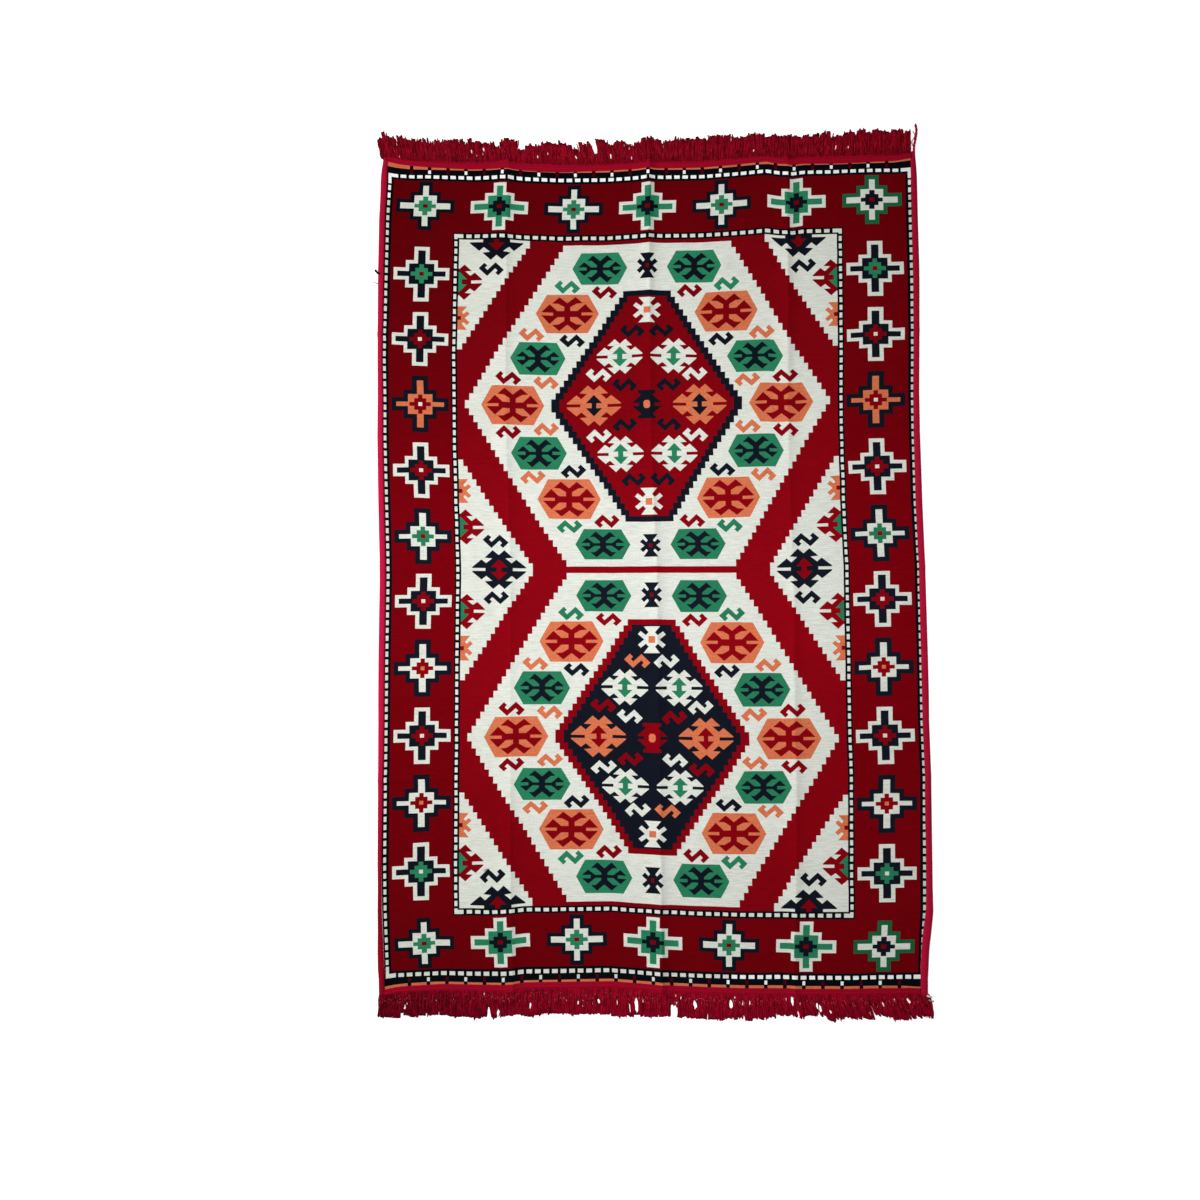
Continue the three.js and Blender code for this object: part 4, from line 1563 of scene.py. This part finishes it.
    @property
    def name(self) -> str:
        """The end's name in the tables' columns."""
        return self.end.name.lower()

    @cached_property
    def gaps(self) -> list[Parting]:
        """This end's gaps: the wide ones, and the fine ones strewn beside the tape."""
        rng = random.Random(self.end.value + 20)
        made = [gap for gap in self.partings if gap.end is self.end]
        for row in self.slits:
            for _ in range(row.count if row.end is self.end else 0):
                place = rng.uniform(row.first, row.last), rng.gauss(951, 6)
                size = rng.uniform(0.2, 0.7), rng.uniform(2, 7)
                made.append(Parting(self.end, *place, *size, row.slant + rng.gauss(0, 0.15)))
        return made

    @property
    def roots(self) -> Point:
        """The outermost places from which yarns hang."""
        return self.roots_top if self.end is End.TOP else self.roots_bottom

    @cached_property
    def span(self) -> Point:
        """The tape's two ends, across the rug."""
        right = self.surface.cloth_edge(Side.RIGHT, self.end.value * self.surface.half_length)
        return -self.surface.half_width + self.inset, right - self.inset

    def section(self, u: float) -> list[Point]:
        """The tape's section as (v, height) points, once around from its inner lip.

        Args:
            u: place across the rug.

        Returns:
            The section's points.
        """
        lap = read(self.laps, u, self.name)
        under = self.surface.thickness + self.gap
        step = self.surface.half_length + self.gap
        return [
            (lap, under), (lap + 0.2, 3.3), (lap + 1.6, 4.3), (lap + 3.4, 4.7), (lap + 5.0, 4.2),
            (lap + 6.2, 4.0), (lap + 7.6, 4.6), (lap + 9.2, 4.9), (lap + 11.0, 4.5), (lap + 13.0, 3.9),
            (self.outer - 3, 3.6), (self.outer - 0.6, 2.8), (self.outer, 1.2), (self.outer, 0.0),
            (step + 0.1, 0.0), (step, under),
        ]

    def tape_place(self, s: float, t: float) -> Vector:
        """The tape's surface at shares of the way around its section and across the rug."""
        u = self.span[0] + (self.span[1] - self.span[0]) * t
        points = self.section(u)
        at = s * len(points)
        i = int(at) % len(points)
        share = at - int(at)
        (v0, z0), (v1, z1) = points[i], points[(i + 1) % len(points)]
        v, height = v0 + (v1 - v0) * share, z0 + (z1 - z0) * share
        end = self.end.value
        return self.surface.lay(u, end * v, self.surface.lift(u, end * self.surface.half_length) + height)

    @staticmethod
    def tape_tone(s: float, t: float) -> float:
        """The tape's tone, with faint lengthwise lines."""
        return 0.6 + 0.18 * math.cos(math.tau * 5 * s)

    def hanging_yarn(self, rng: random.Random, u: float, lock: Lock, layer: Layer) -> Tube:
        """One cut, two-ply yarn that comes out of the tape and settles on the floor.

        Args:
            rng: the fringe's source of chance.
            u: where it leaves the tape.
            lock: the lock of yarns that it belongs to.
            layer: the layer that it lies in.

        Returns:
            The yarn's tube.
        """
        surface, end = self.surface, self.end.value
        combed = read(self.leans, u, self.name)
        gathered = lock.lean + (lock.middle - u) * lock.pinch
        lean = combed + (gathered - combed) * layer.gather + rng.gauss(0, layer.tangle)
        ragged = read(self.raggedness, u, self.name)
        reach = lock.reach + rng.gauss(0, 1.0) * ragged
        chance = rng.random()
        if chance < 0.12 * ragged:
            reach -= rng.uniform(2, 7)
        elif chance > 1 - 0.05 * ragged:
            reach += rng.uniform(2, 5)
        lift = surface.lift(u, end * surface.half_length)
        width = layer.thickness * rng.uniform(0.85, 1.15)
        twist = rng.uniform(5.0, 7.5) * rng.choice((-1, 1))
        swing, phase, bends = rng.gauss(0, 0.5 + 0.3 * layer.tangle), rng.uniform(0, math.tau), rng.uniform(5, 12)
        over, flat = layer.over + rng.uniform(0, 1.0), layer.flatness
        root_light = self.root_light[0 if self.end is End.TOP else 1]
        tone = layer.tone + rng.uniform(-0.16, 0.16) + read(self.tones, u, self.name)
        first, last = self.roots
        bend = 1.2 - 0.85 * math.exp(-min(u - first, last - u) / 12)
        start = (surface.lay(u, end * (self.root + rng.uniform(-1, 1)), 0) - surface.middle) / MM
        root = abs(start.y)
        line = []
        for step in range(self.steps + 1):
            t = step / self.steps
            side = lean * t ** bend + swing * (math.sin(phase + bends * t) - math.sin(phase))
            line.append((start.x + side, root + (reach - root) * t))
        crossing, clear = rng.random() < layer.crossing, rng.uniform(0.1, 0.55)
        for gap in self.gaps:
            if abs(gap.u - start.x) < 50 and not crossing:
                line = gap.part(line, width * clear)
        # Painted shade and light: noise patches that darken the yarns in the fringe's hollows and lighten them
        # between.
        painted_hollow_shade = [0.45 * noise.noise(Vector((x / 9, y / 14, end)))
                  + 0.6 * noise.noise(Vector((x / 3, y / 3, end)))
                  for x, y in line]

        def place(s: float, t: float) -> Vector:
            """The yarn's surface at shares of the way around and along it."""
            x, y = line[round(t * self.steps)]
            angle = math.tau * s
            taper = 1.0 if t < 0.95 else 0.75
            radius = width / 2 * (1 + 0.15 * math.cos(2 * (angle - y / twist))) * taper
            settle = max(0.0, 1 - t / 0.5)
            centre = width * flat * 0.48 + (lift + 1.2) * settle ** 1.5 + over * math.sin(math.pi * min(1, t * 1.05))
            height = max(0.0, centre + flat * radius * math.cos(angle))
            return surface.middle + Vector((x + radius * math.sin(angle), end * y, height)) * MM

        def shade(s: float, t: float) -> float:
            """The yarn's tone, with painted shade at the top's roots and painted light at the bottom's, and patches
            of painted shade in the fringe's hollows.
            """
            near_root = max(0.0, 1 - 2.2 * t)
            return (tone + painted_hollow_shade[round(t * self.steps)]) * (1 + (root_light - 1) * near_root)

        return Tube(place, width * 3, reach - root, shade)

    def locks(self, rng: random.Random) -> list[Lock]:
        """The locks into which the yarns have tangled, side by side along the tape.

        Args:
            rng: the fringe's source of chance.

        Returns:
            The locks.
        """
        made = []
        longer = self.longer[0 if self.end is End.TOP else 1]
        at, last = self.roots
        while at < last - 3:
            width = min(rng.uniform(6, 18), last - at)
            middle = at + width / 2
            ragged = read(self.raggedness, middle, self.name)
            lean = read(self.leans, middle, self.name) + rng.gauss(0, 1.4) * ragged
            reach = read(self.reaches, middle + lean, self.name) + rng.gauss(0, 1.8) * ragged + longer
            made.append(Lock(at, at + width, middle, lean, reach, rng.uniform(-0.1, 0.2)))
            at += width
        return made

    def build(self) -> list[bpy.types.Object]:
        """Builds the tape and the yarns.

        Returns:
            The tape and the yarns, which ride on the rug in place of their plain solid.
        """
        length = self.span[1] - self.span[0]
        tape = Piece(f"fringe_tape_{self.name}")
        tape.roll(32, 400, [Tube(self.tape_place, 50, length, self.tape_tone)])
        made = [tape.done(self.tape_finish.material(), "fringe_yarn")]
        finish = self.yarn_finish.material()
        rng = random.Random(self.end.value + 7)
        locks = self.locks(rng)
        for layer in self.layers:
            tubes = []
            for lock in locks:
                count = max(1, round((lock.last - lock.first) / layer.spacing))
                for i in range(count):
                    share = (i + 0.5 + rng.uniform(-0.3, 0.3)) / count
                    u = lock.first + (lock.last - lock.first) * share
                    tubes.append(self.hanging_yarn(rng, u, lock, layer))
            yarns = Piece(f"fringe_{layer.name}_{self.name}")
            yarns.roll(self.sides, self.steps, tubes)
            made.append(yarns.done(finish, "fringe_yarn"))
        for piece in made:
            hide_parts(f"fringe_{self.name}")
        return made


@dataclass
class StrayThreads:
    """Ends of other yarns that stick out of the edges."""

    surface: RugSurface
    dark: tuple[Thread, ...] = (
        Thread(5.0, 0.0, ((-622.5, 685, 3), (-620, 681.5, 3), (-617, 678, 3.5), (-611, 675, 4))),
        Thread(2.0, 0.8, ((-627, 656.7, 1), (-621.5, 655.2, 1.5), (-616, 652.8, 3), (-610, 650, 4))),
    )
    pale: tuple[Thread, ...] = (
        Thread(4.5, 1.0, ((597, -940.5, 7), (602, -942.5, 8.5), (608.5, -943.5, 7.5))),
        Thread(3.2, 0.2, ((600.5, -950, 7), (606, -952, 8), (612.5, -953, 6))),
    )

    def build(self) -> list[bpy.types.Object]:
        """Builds the dark ends at the left side and the pale ones at the bottom's right corner.

        Returns:
            The threads, by colour.
        """
        black = DyedYarn("black_yarn_ends", Dye(105, 105, 108), Dye(12, 12, 16))
        cream = DyedYarn("pale_yarn_ends", Dye(225, 215, 205), Dye(150, 105, 105))
        made = []
        for name, finish, slot, threads in (("dark_thread_ends", black, "binding_yarn", self.dark),
                                            ("pale_thread_ends", cream, "fringe_yarn", self.pale)):
            piece = Piece(name)
            piece.roll(8, 24, [thread.tube(self.surface.middle) for thread in threads])
            made.append(piece.done(finish.material(), slot))
        return made


class Lamp(NamedTuple):
    """A softbox that is aimed at the rug's middle: its place, its size across and along, and its light."""

    name: str
    place: tuple[float, float, float]
    size: Point
    power: float
    colour: tuple[float, float, float]


@dataclass(frozen=True)
class Studio:
    """The pale floor, the soft lights and the camera above the rug."""

    surface: RugSurface
    floor_size: float = 16.0
    lens: float = 50.0
    camera_place: tuple[float, float, float] = (-11.3, -321.5, 3716.1)
    camera_turn: tuple[float, float, float] = (3.869, 1.601, -0.221)
    fill: float = 0.225
    fill_colour: tuple[float, float, float] = (1.0, 1.02, 0.9)
    lamps: tuple[Lamp, ...] = (
        Lamp("overhead_softbox", (-0.04, 0.0, 1.03), (0.92, 2.5), 9.7, (1.0, 1.0, 1.06)),
        Lamp("side_softbox", (-2.6, 0.3, 2.1), (1.2, 1.2), 55.0, (1.0, 1.03, 0.95)),
    )

    def build_floor(self) -> bpy.types.Object:
        """Builds the floor as one large, finely painted sheet."""
        mesh = bmesh.new()
        bmesh.ops.create_grid(mesh, x_segments=8, y_segments=8, size=self.floor_size / 2)
        data = bpy.data.meshes.new("floor")
        mesh.to_mesh(data)
        mesh.free()
        data.materials.append(FloorPaint().material())
        floor = bpy.data.objects.new("floor", data)
        bpy.context.scene.collection.objects.link(floor)
        return floor

    def build_lights(self) -> None:
        """Hangs the soft lamps, and lights the rest of the room evenly."""
        for lamp in self.lamps:
            light = bpy.data.lights.new(lamp.name, "AREA")
            light.shape = "ELLIPSE"
            light.size, light.size_y = lamp.size
            light.energy = lamp.power
            light.color = lamp.colour
            hung = bpy.data.objects.new(lamp.name, light)
            hung.location = lamp.place
            back = Vector(lamp.place).normalized()
            right = Vector((0, 1, 0)).cross(back).normalized()
            hung.rotation_euler = Matrix((right, back.cross(right), back)).transposed().to_euler()
            hung.visible_camera = False
            bpy.context.scene.collection.objects.link(hung)
        world = bpy.data.worlds.new("studio")
        world.use_nodes = True
        sky = world.node_tree.nodes["Background"]
        sky.inputs["Color"].default_value = (*self.fill_colour, 1.0)
        sky.inputs["Strength"].default_value = self.fill
        bpy.context.scene.world = world

    def build_camera(self) -> None:
        """Places the camera above the rug's middle, at the photographer's angle."""
        data = bpy.data.cameras.new("camera")
        data.lens = self.lens
        camera = bpy.data.objects.new("camera", data)
        camera.location = self.surface.middle + Vector(self.camera_place) * MM
        camera.rotation_euler = Euler(tuple(math.radians(turn) for turn in self.camera_turn), "XYZ")
        bpy.context.scene.collection.objects.link(camera)
        bpy.context.scene.camera = camera
        bpy.context.scene.view_settings.view_transform = "Standard"


def main() -> None:
    """Builds the rug and its studio."""
    logging.basicConfig(level=logging.INFO, format="%(name)s %(message)s")
    surface = RugSurface()
    studio = Studio(surface)
    studio.build_camera()
    studio.build_lights()
    studio.build_floor()
    binding_yarn = DyedYarn("binding_yarn", Dye(202, 23, 69), Dye(138, 5, 24), depth=0.3)
    tape_yarn = DyedYarn("tape_weave", Dye(172, 6, 42), Dye(133, 2, 28), depth=0.3)
    fringe_yarns = {
        End.TOP: DyedYarn("fringe_yarn_top", Dye(168, 8, 36), Dye(80, 1, 14), depth=0.4, dust_and_sheen_flecks=0.12),
        End.BOTTOM: DyedYarn("fringe_yarn_bottom", Dye(163, 5, 38), Dye(84, 1, 16), depth=0.4, dust_and_sheen_flecks=0.4),
    }
    cloth = WovenCloth(surface, Chart()).build()
    edging = [SideBinding(surface, side, binding_yarn).build() for side in Side]
    for end in End:
        edging += Fringe(surface, end, tape_yarn, fringe_yarns[end]).build()
    edging += StrayThreads(surface).build()
    width, length = 2 * surface.half_width * MM, 2 * surface.half_length * MM


if __name__ == "__main__":
    main()
